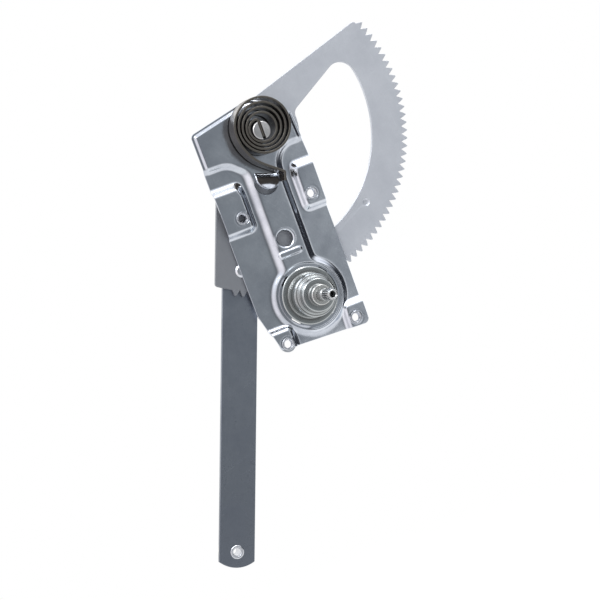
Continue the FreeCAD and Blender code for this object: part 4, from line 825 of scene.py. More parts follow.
@dataclass
class StampedPlate:
    """The base plate: raised pads, a raised middle with shoulders, neck and round boss."""

    # the grid, and the broken edge all round
    step: float = 0.66
    across: tuple[float, float] = (-52.0, 46.0)
    along: tuple[float, float] = (-67.0, 148.5)
    edge: float = 0.28

    # the trimmed outline
    left: float = 47.0
    right: float = 42.0
    foot: float = -58.8
    margin: float = 26.5

    # head, neck and boss, and the step along the head
    plateau_rise: float = 3.5
    plateau_wall: float = 5.0
    boss_radius: float = 33.5
    left_widening: float = 4.6
    left_reach: float = 1.6
    left_tail: float = 0.7
    head_step: float = 1.3
    head_inset: float = 1.7
    head_slope: float = 2.3

    # pads (lower end, upper end, how much wider on top) and nuts
    pad_rise: float = 4.5
    pad_wall: float = 5.0
    pad_inner: float = 21.0
    pad_corner: float = 6.5
    pads: tuple[tuple[float, float, float], ...] = ((41.0, 85.8, 3.0), (-75.0, -39.0, 0.4))
    nut_hole: float = 5.42
    nut_ring: float = 6.4

    # the housing's seat and the bead round it
    seat_radius: float = 28.2
    seat_depth: float = 0.7
    bead_radius: float = 29.7
    bead_height: float = 0.8
    bead_width: float = 1.35

    # the round hole's rolled rim and the embossed bar
    peep: tuple[float, float] = (-3.0, 27.5)
    peep_radius: float = 6.6
    rim_depth: float = 1.1
    rim_width: float = 1.2
    bar_place: float = 15.0
    bar_half: float = 8.0
    bar_reach: float = 3.1
    bar_rise: float = 0.85

    # the other openings
    crank_hole: float = 8.7
    pivot_hole: float = 8.2
    slot_radius: float = 23.65
    slot_size: tuple[float, float] = (2.7, 9.2)

    # the lanced tongue, its leans in degrees
    tongue_root_lean: float = 70.0
    tongue_tip_lean: float = 14.0
    tongue_straight: float = 8.5
    tongue_shear: float = 0.3
    tongue_bend: float = 1.7
    tongue_dish: float = 0.5

    surface: Surface = field(default_factory=Surface)

    def outline(self, over: float) -> Array:
        """The trimmed edge, or a line at a distance outside it.

        Args:
            over: How far outside the trimmed edge.

        Returns:
            The outline's points, anticlockwise.
        """
        top = np.radians(np.linspace(60.0, 102.0, 12))
        radius = self.margin + over
        apex = [(PIVOT[0] + radius * math.cos(turn), PIVOT[1] + radius * math.sin(turn))
                for turn in top]
        corners = [(-38.0 - over, self.foot), (self.right + over, self.foot - 4.4),
                   (self.right + over, 88.0), (39.5 + over, 124.0 + over)] + apex
        corners += [(-48.5 - over, 133.0 + over), (-self.left - over, -25.0)]
        radii = [4.5, 4.5, 20.0, 2.0] + [0.0] * 12 + [4.0, 20.0]
        return rounded_loop(corners, radii)

    def plateau(self) -> Array:
        """The foot of the raised head, neck and boss, with soft shoulders.

        Returns:
            The outline's points, anticlockwise.
        """
        boss = np.radians(np.linspace(-234.4, 60.5, 60))
        ring = [(self.boss_radius * math.cos(turn), CRANK[1] + self.boss_radius * math.sin(turn))
                for turn in boss]
        head = [(16.5, 98.0), (47.0, 98.0), (47.0, 122.0), (20.0, 150.0), (-14.0, 152.0),
                (-54.0, 136.0), (-54.0, 98.0), (-19.5, 98.0)]
        corners = head + ring
        radii = [15.0, 0.0, 0.0, 0.0, 0.0, 0.0, 0.0, 15.0] + [5.0] + [0.0] * 58 + [5.0]
        return rounded_loop(corners, radii)

    def pad(self, side: int, low: float, high: float) -> Array:
        """The foot of one fixing pad, which runs off the plate on its outer side.

        Args:
            side: 1 on the right, -1 on the left.
            low: Its lower end.
            high: Its upper end.

        Returns:
            The outline's points.
        """
        inner = self.pad_inner * side
        outer = 60.0 * side
        corners = [(inner, low), (outer, low), (outer, high), (inner, high)]
        return rounded_loop(corners if side > 0 else corners[::-1], [self.pad_corner] * 4)

    def rise(self, inside: Array, height: float, wall: Array | float, sigma: float,
             tail: Array | float = 1.0) -> Array:
        """One raised area's height, along an S-shaped wall rounded as the dies round it.

        Args:
            inside: Distance inwards from the area's foot.
            height: The area's height.
            wall: The wall's width.
            sigma: The rounding of its folds.
            tail: Above 1, how far the foot is drawn out.

        Returns:
            The height at each grid point.
        """
        share = np.clip(inside / wall, 0.0, 1.0) ** tail
        return blurred(soft_step(share) * height, sigma / self.step)

    def raised(self, x: Array, z: Array) -> Array:
        """The height of head, neck, boss and pads, less the step along the head's edge.

        The middle's left wall is wider than the others, and its foot is drawn out.

        Args:
            x: The grid's X values.
            z: The grid's Z values.

        Returns:
            The height at each grid point.
        """
        points = np.stack([x.ravel(), z.ravel()], axis=1)

        def within(loop: Array) -> Array:
            """Distance inwards from an outline."""
            return -signed_distance(points, loop).reshape(x.shape)

        left = soft_step((-x - 5.0) / 6.0) * soft_step((96.0 - z) / 8.0)
        middle = self.rise(within(self.plateau()) + self.left_reach * left, self.plateau_rise,
                           self.plateau_wall + self.left_widening * left, 1.0,
                           1.0 + self.left_tail * left)
        inset = (within(self.outline(0.0)) - self.head_inset) / self.head_slope
        on_head = np.clip(middle / self.plateau_rise, 0.0, 1.0)
        pads = np.zeros_like(middle)
        for side in (-1, 1):
            for low, high, wider in self.pads:
                wall = self.pad_wall + wider * soft_step((z - high + 13.0) / 8.0)
                pad = self.rise(within(self.pad(side, low, high)), self.pad_rise, wall, 0.85)
                pads = np.maximum(pads, pad)
        return (blurred(np.maximum(middle, pads), 0.6 / self.step)
                - self.head_step * (1.0 - soft_step(inset)) * on_head)

    def boss_ring(self, x: Array, z: Array) -> Array:
        """The bead round the boss, a bell curve over the radius, less the housing's seat.

        The bead fades towards the neck and on the left.

        Args:
            x: The grid's X values.
            z: The grid's Z values.

        Returns:
            The height at each grid point.
        """
        from_crank = np.hypot(x - CRANK[0], z - CRANK[1])
        seat = self.seat_depth * soft_step((self.seat_radius - from_crank) / 1.5)
        bead = self.bead_height * np.exp(-((from_crank - self.bead_radius) / self.bead_width) ** 2)
        bead = bead * (1.0 - 0.85 * soft_step((z - CRANK[1] - 17.0) / 8.0))
        return bead * (1.0 - 0.55 * soft_step((-x - 8.0) / 14.0)) - seat

    def small_marks(self, x: Array, z: Array) -> Array:
        """The embossed bar, less the round hole's rolled rim and the rings round the nuts.

        Args:
            x: The grid's X values.
            z: The grid's Z values.

        Returns:
            The height at each grid point.
        """
        beside = x - self.peep[0]
        from_bar = np.hypot(beside - np.clip(beside, -self.bar_half, self.bar_half),
                            z - self.bar_place)
        bar = self.bar_rise * soft_step((self.bar_reach - from_bar) / 1.5)
        rim_gap = np.hypot(beside, z - self.peep[1]) - self.peep_radius
        rolled = self.rim_depth * (1.0 - np.clip(rim_gap / self.rim_width, 0.0, 1.0)) ** 1.5
        rolled -= 0.25 * np.exp(-((rim_gap - 1.9) / 0.6) ** 2)
        from_nut = np.hypot(np.abs(x) - NUT_X, np.abs(z) - NUT_Z)
        return bar - rolled - 0.16 * np.exp(-((from_nut - self.nut_ring) / 0.5) ** 2)

    def unevenness(self, x: Array, z: Array) -> Array:
        """Slow waves that the press leaves, and the backward curl of the lower end.

        Args:
            x: The grid's X values.
            z: The grid's Z values.

        Returns:
            How far back the sheet lies at each grid point.
        """
        waves = 0.1 * np.sin(x * 0.13 + 0.8 * np.sin(z * 0.06)) * np.cos(z * 0.085 + 0.4)
        waves = waves + 0.02 * np.sin(x * 0.37 - z * 0.29 + 1.3)
        return waves + 0.0035 * np.clip(-44.0 - z, 0.0, 30.0) ** 2 + 0.00042 * x * x

    def level(self, x: Array, z: Array) -> Array:
        """The front face's Y over a grid: the low face less all that stands forward of it.

        Args:
            x: The grid's X values.
            z: The grid's Z values.

        Returns:
            Y at each grid point.
        """
        return (LOW_FRONT - self.raised(x, z) - self.boss_ring(x, z) - self.small_marks(x, z)
                + self.unevenness(x, z))

    def openings(self) -> list[Array]:
        """The outlines of every hole and slot.

        Returns:
            One outline for each opening.
        """
        loops = [circle_loop((NUT_X * side_x, NUT_Z * side_z), self.nut_hole)
                 for side_x in (-1, 1) for side_z in (-1, 1)]
        loops.append(circle_loop(CRANK, self.crank_hole))
        loops.append(circle_loop(PIVOT, self.pivot_hole))
        loops.append(circle_loop(self.peep, self.peep_radius))
        for angle in TAB_ANGLES:
            turn = math.radians(angle)
            centre = (CRANK[0] + self.slot_radius * math.cos(turn),
                      CRANK[1] + self.slot_radius * math.sin(turn))
            loops.append(bar_loop(centre, *self.slot_size, angle))
        along, width = self.tongue_plan(TONGUE_HALF, 20)
        tilt = math.radians(TONGUE_TILT)
        across = np.concatenate([width, -width[::-1]])
        down = np.concatenate([along, along[::-1]])
        loops.append(np.stack([
            TONGUE[0] + across * math.cos(tilt) - down * math.sin(tilt),
            TONGUE[1] - across * math.sin(tilt) - down * math.cos(tilt)], axis=1))
        return loops

    def tongue_plan(self, half: float, steps: int) -> tuple[Array, Array]:
        """The tongue's length and half width, from its bend line over straight sides to its tip.

        The round end is an arc a little wider than the half width, so that it meets the
        straight sides at a slight corner.

        Args:
            half: The half width of the straight part.
            steps: Points along the round end.

        Returns:
            Distances from the bend line, and the half width at each.
        """
        radius = half * 1.02
        open_angle = math.asin(half / radius)
        turn = open_angle * (1.0 - np.linspace(0.0, 1.0, steps)[1:])
        straight = np.linspace(0.0, self.tongue_straight, 5)
        along = np.concatenate([straight, self.tongue_straight
                                + radius * (np.cos(turn) - math.cos(open_angle))])
        return along, np.concatenate([np.full(5, half), radius * np.sin(turn)])

    def inside(self, points: Array) -> Array:
        """Distance to the plate's own edge, negative in the sheet and positive in a hole.

        Args:
            points: Points in the plate's plane, one a row.

        Returns:
            One distance for each point.
        """
        distance = signed_distance(points, self.outline(0.0))
        for loop in self.openings():
            distance = np.maximum(distance, -signed_distance(points, loop))
        return distance

    def _pull_to_edge(self, points: Array) -> Array:
        """Move points along the distance's slope until they lie just inside the edge.

        Args:
            points: Points near the edge, one a row.

        Returns:
            The moved points.
        """
        small = 0.02
        for _ in range(3):
            here = self.inside(points)
            slope_x = self.inside(points + (small, 0.0)) - here
            slope_z = self.inside(points + (0.0, small)) - here
            slope = np.stack([slope_x, slope_z], axis=1) / small
            slope /= np.maximum(np.linalg.norm(slope, axis=1, keepdims=True), 0.3)
            points = points - slope * (here + self.edge)[:, None] * 0.98
        return points

    def _outward(self, points: Array) -> Array:
        """The direction in the plate's plane that leads out of the sheet.

        Args:
            points: Points near the edge, one a row.

        Returns:
            One unit direction for each point.
        """
        small = 0.05
        slope_x = self.inside(points + (small, 0.0)) - self.inside(points - (small, 0.0))
        slope_z = self.inside(points + (0.0, small)) - self.inside(points - (0.0, small))
        slope = np.stack([slope_x, slope_z], axis=1)
        return slope / np.maximum(np.linalg.norm(slope, axis=1, keepdims=True), 1e-9)

    def sheet(self) -> None:
        """Add the sheet: a grid cut to the outline, its edge points pulled onto the outline.

        A grid cell stays where its middle is in the sheet. Both faces share the cells, the
        rear face stands off the front one by the sheet's thickness along the normal, and a
        rim of three bands joins them with broken edges.
        """
        xs = np.arange(*self.across, self.step)
        zs = np.arange(*self.along, self.step)
        grid_x, grid_z = np.meshgrid(xs, zs, indexing="ij")
        heights = self.level(grid_x, grid_z)
        slope_x, slope_z = np.gradient(heights, self.step)
        middles = np.stack([(grid_x[:-1, :-1] + self.step / 2).ravel(),
                            (grid_z[:-1, :-1] + self.step / 2).ravel()], axis=1)
        kept = (self.inside(middles) < -self.edge * 0.5).reshape(len(xs) - 1, len(zs) - 1)
        wide = np.pad(kept, 1)
        around = wide[:-1, :-1] * 1 + wide[1:, :-1] + wide[:-1, 1:] + wide[1:, 1:]
        used = around > 0
        border = used & (around < 4)
        plan = np.stack([grid_x, grid_z], axis=2)
        plan[border] = self._pull_to_edge(plan[border])

        def sampled(values: Array, points: Array) -> Array:
            """A grid's values between its points, by two-way interpolation.

            Args:
                values: The grid's values.
                points: Where they are read, one place a row.

            Returns:
                One value for each place.
            """
            u = np.clip((points[:, 0] - xs[0]) / self.step, 0, len(xs) - 1.001)
            v = np.clip((points[:, 1] - zs[0]) / self.step, 0, len(zs) - 1.001)
            i, j = u.astype(int), v.astype(int)
            a, b = u - i, v - j
            return ((values[i, j] * (1 - a) + values[i + 1, j] * a) * (1 - b)
                    + (values[i, j + 1] * (1 - a) + values[i + 1, j + 1] * a) * b)

        def lifted(points: Array, depth: float) -> Array:
            """Points of the plan raised to the front face and sunk along its normal.

            Args:
                points: Points of the plan, one a row.
                depth: How far behind the front face.

            Returns:
                Points in space, one a row.
            """
            tilt = np.stack([-sampled(slope_x, points), np.ones(len(points)),
                             -sampled(slope_z, points)], axis=1)
            tilt /= np.linalg.norm(tilt, axis=1, keepdims=True)
            base = np.stack([points[:, 0], sampled(heights, points), points[:, 1]], axis=1)
            return base + tilt * depth

        flat = plan[used]
        number = np.full(used.shape, -1)
        number[used] = np.arange(len(flat))
        # Folds are marked brighter by their curvature: wear, with painted highlight.
        curve = np.abs(blurred(np.gradient(slope_x, self.step, axis=0)
                               + np.gradient(slope_z, self.step, axis=1), 1.0))
        point_mark = soft_step((curve - 0.12) / 0.5)[used]
        cells = np.stack([number[:-1, :-1], number[1:, :-1], number[1:, 1:], number[:-1, 1:]],
                         axis=2)[kept]
        front = lifted(flat, 0.0)
        back = lifted(flat, SHEET)
        rim_plan = plan[border]
        outward = self._outward(rim_plan)
        rim_front = lifted(rim_plan, self.edge)
        rim_back = lifted(rim_plan, SHEET - self.edge)
        shift = np.stack([outward[:, 0], np.zeros(len(outward)), outward[:, 1]], axis=1)
        rim_front += shift * self.edge
        rim_back += shift * self.edge
        rim_number = np.full(used.shape, -1)
        rim_number[border] = np.arange(border.sum())
        total = len(flat)
        points = np.concatenate([front, back, rim_front, rim_back])
        # The broken edge's rim is marked brighter: wear, with painted highlight.
        marks = np.concatenate([point_mark, point_mark, np.full(len(rim_front) * 2, 0.75)])
        a, b, ra, rb = self._rim_sides(kept, number, rim_number).T
        ra_front, rb_front = ra + 2 * total, rb + 2 * total
        ra_back, rb_back = ra_front + len(rim_front), rb_front + len(rim_front)
        bands = [np.stack([a, b, rb_front, ra_front], axis=1),
                 np.stack([ra_front, rb_front, rb_back, ra_back], axis=1),
                 np.stack([ra_back, rb_back, b + total, a + total], axis=1)]
        faces = np.concatenate([cells, cells[:, ::-1] + total] + bands)
        self.surface.add(points, faces, marks)

    @staticmethod
    def _rim_sides(kept: Array, number: Array, rim_number: Array) -> Array:
        """The sides of kept cells beyond which no cell is kept, all in the same sense.

        Args:
            kept: Which cells are kept.
            number: The grid points' numbers.
            rim_number: The rim points' numbers on the same grid.

        Returns:
            For each side the numbers of its two ends on the grid and then on the rim.
        """
        wide = np.pad(kept, 1)
        sides = []
        for axis, shift, first, second in (
                (0, 1, (1, 0), (1, 1)), (0, -1, (0, 1), (0, 0)),
                (1, 1, (1, 1), (0, 1)), (1, -1, (0, 0), (1, 0))):
            beyond = np.roll(wide, -shift, axis=axis)[1:-1, 1:-1]
            i, j = np.nonzero(kept & ~beyond)
            a = (i + first[0], j + first[1])
            b = (i + second[0], j + second[1])
            sides.append(np.stack([number[a], number[b], rim_number[a], rim_number[b]], axis=1))
        return np.concatenate(sides)

    def tongue_piece(self) -> None:
        """Add the lanced tongue, bent forwards out of its window.

        Its upper face leaves the plate's front face and turns through an arc. Its lean then
        falls evenly towards the tip, and its height and reach are the running sums of the
        lean's cosine and sine. Its half width follows the lanced plan.
        """
        tilt = math.radians(TONGUE_TILT)
        across = np.array([math.cos(tilt), 0.0, -math.sin(tilt)])
        above = np.array([math.sin(tilt), 0.0, math.cos(tilt)])
        forward = np.array([0.0, 1.0, 0.0])
        origin = np.array([TONGUE[0], 0.0, TONGUE[1]])
        lean = math.radians(self.tongue_root_lean)
        last = math.radians(self.tongue_tip_lean)
        half = TONGUE_HALF - self.tongue_shear
        along, width = self.tongue_plan(half, 18)
        start = self.tongue_bend * math.tan(lean / 2)
        straight = along[along > start + 0.2]
        turn = np.linspace(0.0, lean, 9)
        share = (straight - start) / (straight[-1] - start)
        heading = lean + (last - lean) * share ** 0.6
        middle = np.concatenate([[lean], (heading[1:] + heading[:-1]) / 2])
        run = np.diff(np.concatenate([[start], straight]))
        up = np.concatenate([[1.3], start - self.tongue_bend * np.sin(turn),
                             start - self.tongue_bend * math.sin(lean)
                             - np.cumsum(run * np.cos(middle))])
        y = PLATEAU_FRONT - 0.03 + np.concatenate([
            [0.0], self.tongue_bend * (np.cos(turn) - 1.0),
            self.tongue_bend * (math.cos(lean) - 1.0) - np.cumsum(run * np.sin(middle))])
        tilt_now = np.concatenate([[0.0], turn, heading])
        half_now = np.concatenate([np.full(10, half), width[along > start + 0.2]])
        reach = np.concatenate([np.zeros(10), share])
        u = np.sin(np.linspace(-np.pi / 2, np.pi / 2, 33))[:, None]

        def face(depth: float, inset: float) -> Array:
            """One face of the strip at a depth below its upper face.

            Args:
                depth: How far below the upper face.
                inset: How far inside the strip's edge.

            Returns:
                Points over the width and the length.
            """
            wide = u * np.maximum(half_now - inset, 0.0)[None, :]
            dish = self.tongue_dish * (1.0 - u ** 2) * reach[None, :] ** 2 + depth
            rise = up[None, :] - np.sin(tilt_now)[None, :] * dish
            front = y[None, :] + np.cos(tilt_now)[None, :] * dish
            return (origin + wide[..., None] * across + rise[..., None] * above
                    + front[..., None] * forward)

        layers = [face(0.0, 0.3), face(0.3, 0.0), face(SHEET - 0.3, 0.0), face(SHEET, 0.3)]
        loops = [np.concatenate([layer[0], layer[1:-1, -1], layer[-1, ::-1], layer[-2:0:-1, 0]])
                 for layer in layers]
        # The tongue's faces are marked a little brighter and its edges more: wear, with painted highlight.
        self.surface.add_grid(layers[0], mark=0.25)
        self.surface.add_grid(layers[3], mark=0.25)
        self.surface.add_grid(np.stack(loops), close_v=True, mark=0.8)

    def build(self, shop: Workshop) -> None:
        """Build the plate's mesh and dress it.

        Args:
            shop: The workshop, which dresses pieces and puts them on their bodies.
        """
        self.sheet()
        self.tongue_piece()
        piece = self.surface.write("stamped_plate", 40.0)
        shop.fit(piece, PLATE_ZINC, "base", "zinc_plate", "base_plate")


@dataclass(frozen=True)
class TurnedPiece:
    """A piece turned about an axis along Y, from a profile of (radius, y, rounding)."""

    name: str
    node: str
    body: str
    slot: str
    finish: Finish
    centre: tuple[float, float]
    profile: list[tuple[float, float, float]]
    segments: int = 96

    def build(self, shop: Workshop) -> None:
        """Turn the profile and dress the piece.

        Args:
            shop: The workshop, which dresses pieces and puts them on their bodies.
        """
        surface = Surface()
        surface.add_grid(turned_grid(drawn_profile(self.profile), self.centre, self.segments),
                         close_u=True, close_v=True)
        shop.fit(surface.write(self.name), self.finish, self.body, self.slot, self.node)


@dataclass
class ClinchNuts:
    """Four nuts pressed into the pads from behind, threaded all the way through."""

    core: float = 3.3
    crest_depth: float = 0.55
    pitch: float = 1.25
    collar: float = 5.3
    body_radius: float = 7.0
    shoulder: float = 2.05
    front: float = 0.3
    back: float = 6.3

    def thread(self, centre: tuple[float, float]) -> Array:
        """The threaded wall: the radius follows a triangle wave of turn plus depth over pitch.

        Args:
            centre: The nut's X and Z.

        Returns:
            Points over the turn and the depth.
        """
        turn = np.linspace(0.0, 2 * np.pi, 49)[:-1][:, None]
        depth = np.linspace(self.front + 0.55, self.back - 0.45, 46)[None, :]
        phase = (turn / (2 * np.pi) + depth / self.pitch) % 1.0
        radius = self.core + self.crest_depth * np.abs(phase * 2 - 1)
        ends = np.minimum(depth - depth.min(), depth.max() - depth)
        radius = self.core + 0.35 + (radius - self.core - 0.35) * soft_step(ends / 0.4)
        return np.stack([centre[0] + radius * np.cos(turn), depth + 0 * turn,
                         centre[1] + radius * np.sin(turn)], axis=2)

    def build(self, shop: Workshop) -> None:
        """Build the four nuts as one piece.

        Args:
            shop: The workshop, which dresses pieces and puts them on their bodies.
        """
        surface = Surface()
        corners = [(self.core + 0.35, self.front + 0.55, 0.0), (self.core + 0.8, self.front, 0.25),
                   (self.collar - 0.3, self.front, 0.2), (self.collar, self.front + 0.35, 0.15),
                   (self.collar, self.shoulder, 0.0), (self.body_radius, self.shoulder, 0.1),
                   (self.body_radius, self.back - 0.9, 0.4),
                   (self.body_radius - 0.9, self.back, 0.4),
                   (self.core + 0.9, self.back, 0.2), (self.core + 0.35, self.back - 0.45, 0.0)]
        profile = drawn_profile(corners, 4)
        first = int(np.argmin(np.hypot(profile[:, 0] - self.core - 0.35,
                                       profile[:, 1] - self.front - 0.55)))
        profile = np.roll(profile, -first, axis=0)
        for side_x in (-1, 1):
            for side_z in (-1, 1):
                centre = (NUT_X * side_x, NUT_Z * side_z)
                surface.add_grid(turned_grid(profile, centre, 48), close_u=True)
                surface.add_grid(self.thread(centre), close_u=True)
        piece = surface.write("threaded_clinch_nuts", 30.0)
        shop.fit(piece, FASTENER_ZINC, "base", "zinc_fastener", "clinch_nuts")


@dataclass
class BrakeHousing:
    """The drawn cup over the brake, with its flange, stepped dome, nose, collar and tabs."""

    flange: float = 24.2
    wall: float = 1.6
    bore: float = 16.5
    depth: float = -15.6
    nose: float = 13.9
    nose_front: float = -25.0
    collar: float = 8.4
    collar_front: float = -32.0
    collar_bore: float = 6.4
    nose_back: float = -23.4
    tab_half: float = 4.0
    tab_bend: float = 1.0
    tab_inset: float = 0.4

    def cup(self) -> Array:
        """The cup's profile, from the flange's rim over the dome to the collar and back.

        Returns:
            Radius and Y of each profile point, one a row.
        """
        base = PLATEAU_FRONT
        front = base - self.wall
        dome = self.bore + self.wall
        return drawn_profile([
            (self.bore, base, 0.2), (self.flange, base, 0.25), (self.flange, front + 0.5, 0.3),
            (self.flange - 0.9, front, 0.35), (dome + 1.5, front, 0.35),
            (dome + 0.9, front - 0.75, 0.3), (dome + 0.35, front - 0.85, 0.3),
            (dome, front - 2.2, 0.7), (dome, self.depth + 0.9, 0.9),
            (dome - 0.7, self.depth - 0.5, 0.4), (dome - 1.5, self.depth - 0.8, 0.3),
            (dome - 1.8, self.depth - 1.8, 0.3), (dome - 2.6, self.depth - 2.1, 0.3),
            (dome - 2.9, self.depth - 3.0, 0.3), (self.nose + 0.55, self.depth - 3.4, 0.4),
            (self.nose, self.depth - 4.6, 0.5), (self.nose, self.nose_front + 0.9, 0.5),
            (self.nose - 0.8, self.nose_front, 0.5),
            (self.collar + 0.9, self.nose_front, 0.6), (self.collar, self.nose_front - 0.9, 0.4),
            (self.collar, self.collar_front, 0.35), (self.collar_bore, self.collar_front, 0.1),
            (self.collar_bore, self.nose_back, 0.2), (self.nose - self.wall, self.nose_back, 0.6),
            (self.nose - self.wall, self.depth - 1.8, 0.6), (self.bore, self.depth, 0.6),
        ], 6)

    def painted_shade(self, grid: Array) -> Array:
        """Painted shade in the corners between the cup's steps.

        Args:
            grid: The cup's turned grid.

        Returns:
            A negative mark at each grid point, strongest in the corners.
        """
        dome = self.bore + self.wall
        corners = [(dome + 1.5, PLATEAU_FRONT - self.wall), (dome - 1.65, self.depth - 0.9),
                   (self.nose + 0.4, self.depth - 3.6), (self.collar + 0.5, self.nose_front - 0.2)]
        radius = np.hypot(grid[..., 0] - CRANK[0], grid[..., 2] - CRANK[1])
        return -0.85 * sum(np.exp(-((radius - r) ** 2 + (grid[..., 1] - y) ** 2) / 0.9)
                           for r, y in corners)

    def tab(self, degrees: float) -> Array:
        """One tab: a strip that leaves the flange's rim, bends and runs back through its slot.

        Args:
            degrees: The tab's angle about the crank's axis.

        Returns:
            The strip's wall with its two end caps, as one grid of rounded sections.
        """
        turn = np.linspace(0.0, np.pi / 2, 8)
        bend = self.tab_bend
        outer = self.flange - self.tab_inset
        front = PLATEAU_FRONT - self.wall
        path_r = np.concatenate([[outer - 4.0], outer - bend + bend * np.sin(turn),
                                 [outer, outer - 0.25]])
        path_y = np.concatenate([[front + 0.25], front + 0.25 + bend - bend * np.cos(turn),
                                 [2.4, 4.2]])
        lean = np.concatenate([[0.0], turn, [np.pi / 2, np.pi / 2]])
        half = np.concatenate([[self.tab_half] * 10, [self.tab_half - 0.5]])
        depth = np.array([0.0, 0.12, 1.2, 1.32, 1.32, 1.2, 0.12, 0.0])
        side = np.array([-0.94, -1.0, -1.0, -0.94, 0.94, 1.0, 1.0, 0.94])
        radius = path_r[:, None] - np.sin(lean)[:, None] * depth
        y = path_y[:, None] + np.cos(lean)[:, None] * depth
        across = half[:, None] * side
        spin = math.radians(degrees)
        x = CRANK[0] + radius * math.cos(spin) - across * math.sin(spin)
        z = CRANK[1] + radius * math.sin(spin) + across * math.cos(spin)
        grid = np.stack([x, y + 0 * x, z], axis=2)
        middle = grid.mean(axis=1, keepdims=True)
        return np.concatenate([np.broadcast_to(middle[:1], grid[:1].shape), grid,
                               np.broadcast_to(middle[-1:], grid[-1:].shape)])

    def build(self, shop: Workshop) -> None:
        """Build the housing with its four tabs.

        Args:
            shop: The workshop, which dresses pieces and puts them on their bodies.
        """
        surface = Surface()
        cup = turned_grid(self.cup(), CRANK, 160)
        # The cup carries painted shade in its corners through its mark.
        surface.add_grid(cup, close_u=True, close_v=True, mark=self.painted_shade(cup))
        for angle in TAB_ANGLES:
            # Each tab is marked fully dark: painted shade over the whole tab.
            surface.add_grid(self.tab(angle), close_v=True, mark=-1.0)
        piece = surface.write("drawn_brake_housing", 30.0)
        shop.fit(piece, HOUSING_ZINC, "base", "zinc_housing", "brake_housing")


@dataclass
class CrankShaft:
    """The splined shaft with a tapered nose, a tapped end and a groove behind the splines."""

    radius: float = 5.1
    front: float = -63.0
    shoulder: float = -14.3
    splines: int = 20
    spline_end: float = 15.8
    spline_depth: float = 0.6
    spindle_radius: float = 3.5
    spindle_end: float = 11.4
    thread_core: float = 2.5
    thread_depth: float = 14.0
    around: int = 240

    def outside(self) -> tuple[Array, Array]:
        """The outer wall, and painted shade in its spline grooves.

        The radius falls from the profile by a rounded groove wave of 20 periods round the
        shaft, faded out at both ends of the splines.

        Returns:
            Points over the turn and the length, and a number for the finish at each.
        """
        full, end = self.radius, self.front + self.spline_end
        marks = np.array([
            (self.thread_core + 0.55, self.front), (3.3, self.front), (3.75, self.front + 0.3),
            (4.35, self.front + 2.0), (full - 0.1, self.front + 3.4), (full, self.front + 3.8),
            (full, end), (full - 0.1, end + 0.7), (full - 0.6, end + 1.2), (full - 0.6, end + 2.2),
            (full - 0.1, end + 2.7), (full, end + 3.1), (full, self.shoulder - 4.0),
            (full, self.shoulder)])
        length = np.concatenate([[0.0], np.cumsum(np.linalg.norm(np.diff(marks, axis=0), axis=1))])
        fine = np.unique(np.concatenate([length, np.linspace(0.0, length[-1], 110)]))
        radius = np.interp(fine, length, marks[:, 0])[None, :]
        y = np.interp(fine, length, marks[:, 1])[None, :]
        turn = np.linspace(0.0, 2 * np.pi, self.around, endpoint=False)[:, None]
        wave = np.clip(0.5 - 0.95 * np.cos(turn * self.splines), 0.0, 1.0)
        fade = soft_step((y - self.front - 1.6) / 1.4) * soft_step(end - y)
        radius = radius - self.spline_depth * wave * fade
        grid = np.stack([radius * np.cos(turn) + CRANK[0], y + 0 * turn,
                         radius * np.sin(turn) + CRANK[1]], axis=2)
        # The mark is negative in the grooves: painted shade.
        return grid, -wave * fade

    def hole(self) -> Array:
        """The tapped hole: a cone at its mouth, a thread and a drilled bottom.

        Returns:
            Points over the turn and the depth.
        """
        turn = np.linspace(0.0, 2 * np.pi, self.around, endpoint=False)[:, None]
        depth = np.linspace(0.0, self.thread_depth, 90)[None, :]
        phase = (turn / (2 * np.pi) + depth) % 1.0
        thread = self.thread_core + 0.5 * np.abs(phase * 2 - 1) * soft_step((depth - 0.5) / 0.5)
        radius = np.maximum(thread, self.thread_core + 0.55 - depth)
        wall = np.stack([radius * np.cos(turn) + CRANK[0], self.front + depth + 0 * turn,
                         radius * np.sin(turn) + CRANK[1]], axis=2)
        tip = np.array([CRANK[0], self.front + self.thread_depth + 1.6, CRANK[1]])
        return np.concatenate([wall, np.broadcast_to(tip, wall[:, :1].shape)], axis=1)

    def spindle(self) -> Array:
        """The thin spindle that carries the driver and the pinion, with its broken end.

        Returns:
            Points over the turn and the profile.
        """
        thin, end = self.spindle_radius, self.spindle_end
        marks = np.array([(self.radius, self.shoulder), (thin, self.shoulder), (thin, end - 0.5),
                          (thin - 0.3, end), (0.0, end)])
        return turned_grid(marks, CRANK, self.around)

    def build(self, shop: Workshop) -> None:
        """Build the shaft.

        Args:
            shop: The workshop, which dresses pieces and puts them on their bodies.
        """
        surface = Surface()
        outside, groove_shade = self.outside()
        surface.add_grid(outside, close_u=True, mark=groove_shade)
        for grid in (self.hole(), self.spindle()):
            surface.add_grid(grid, close_u=True)
        piece = surface.write("splined_crank_shaft", 28.0)
        shop.fit(piece, SHAFT_ZINC, "crank", "zinc_shaft", "crank_shaft")


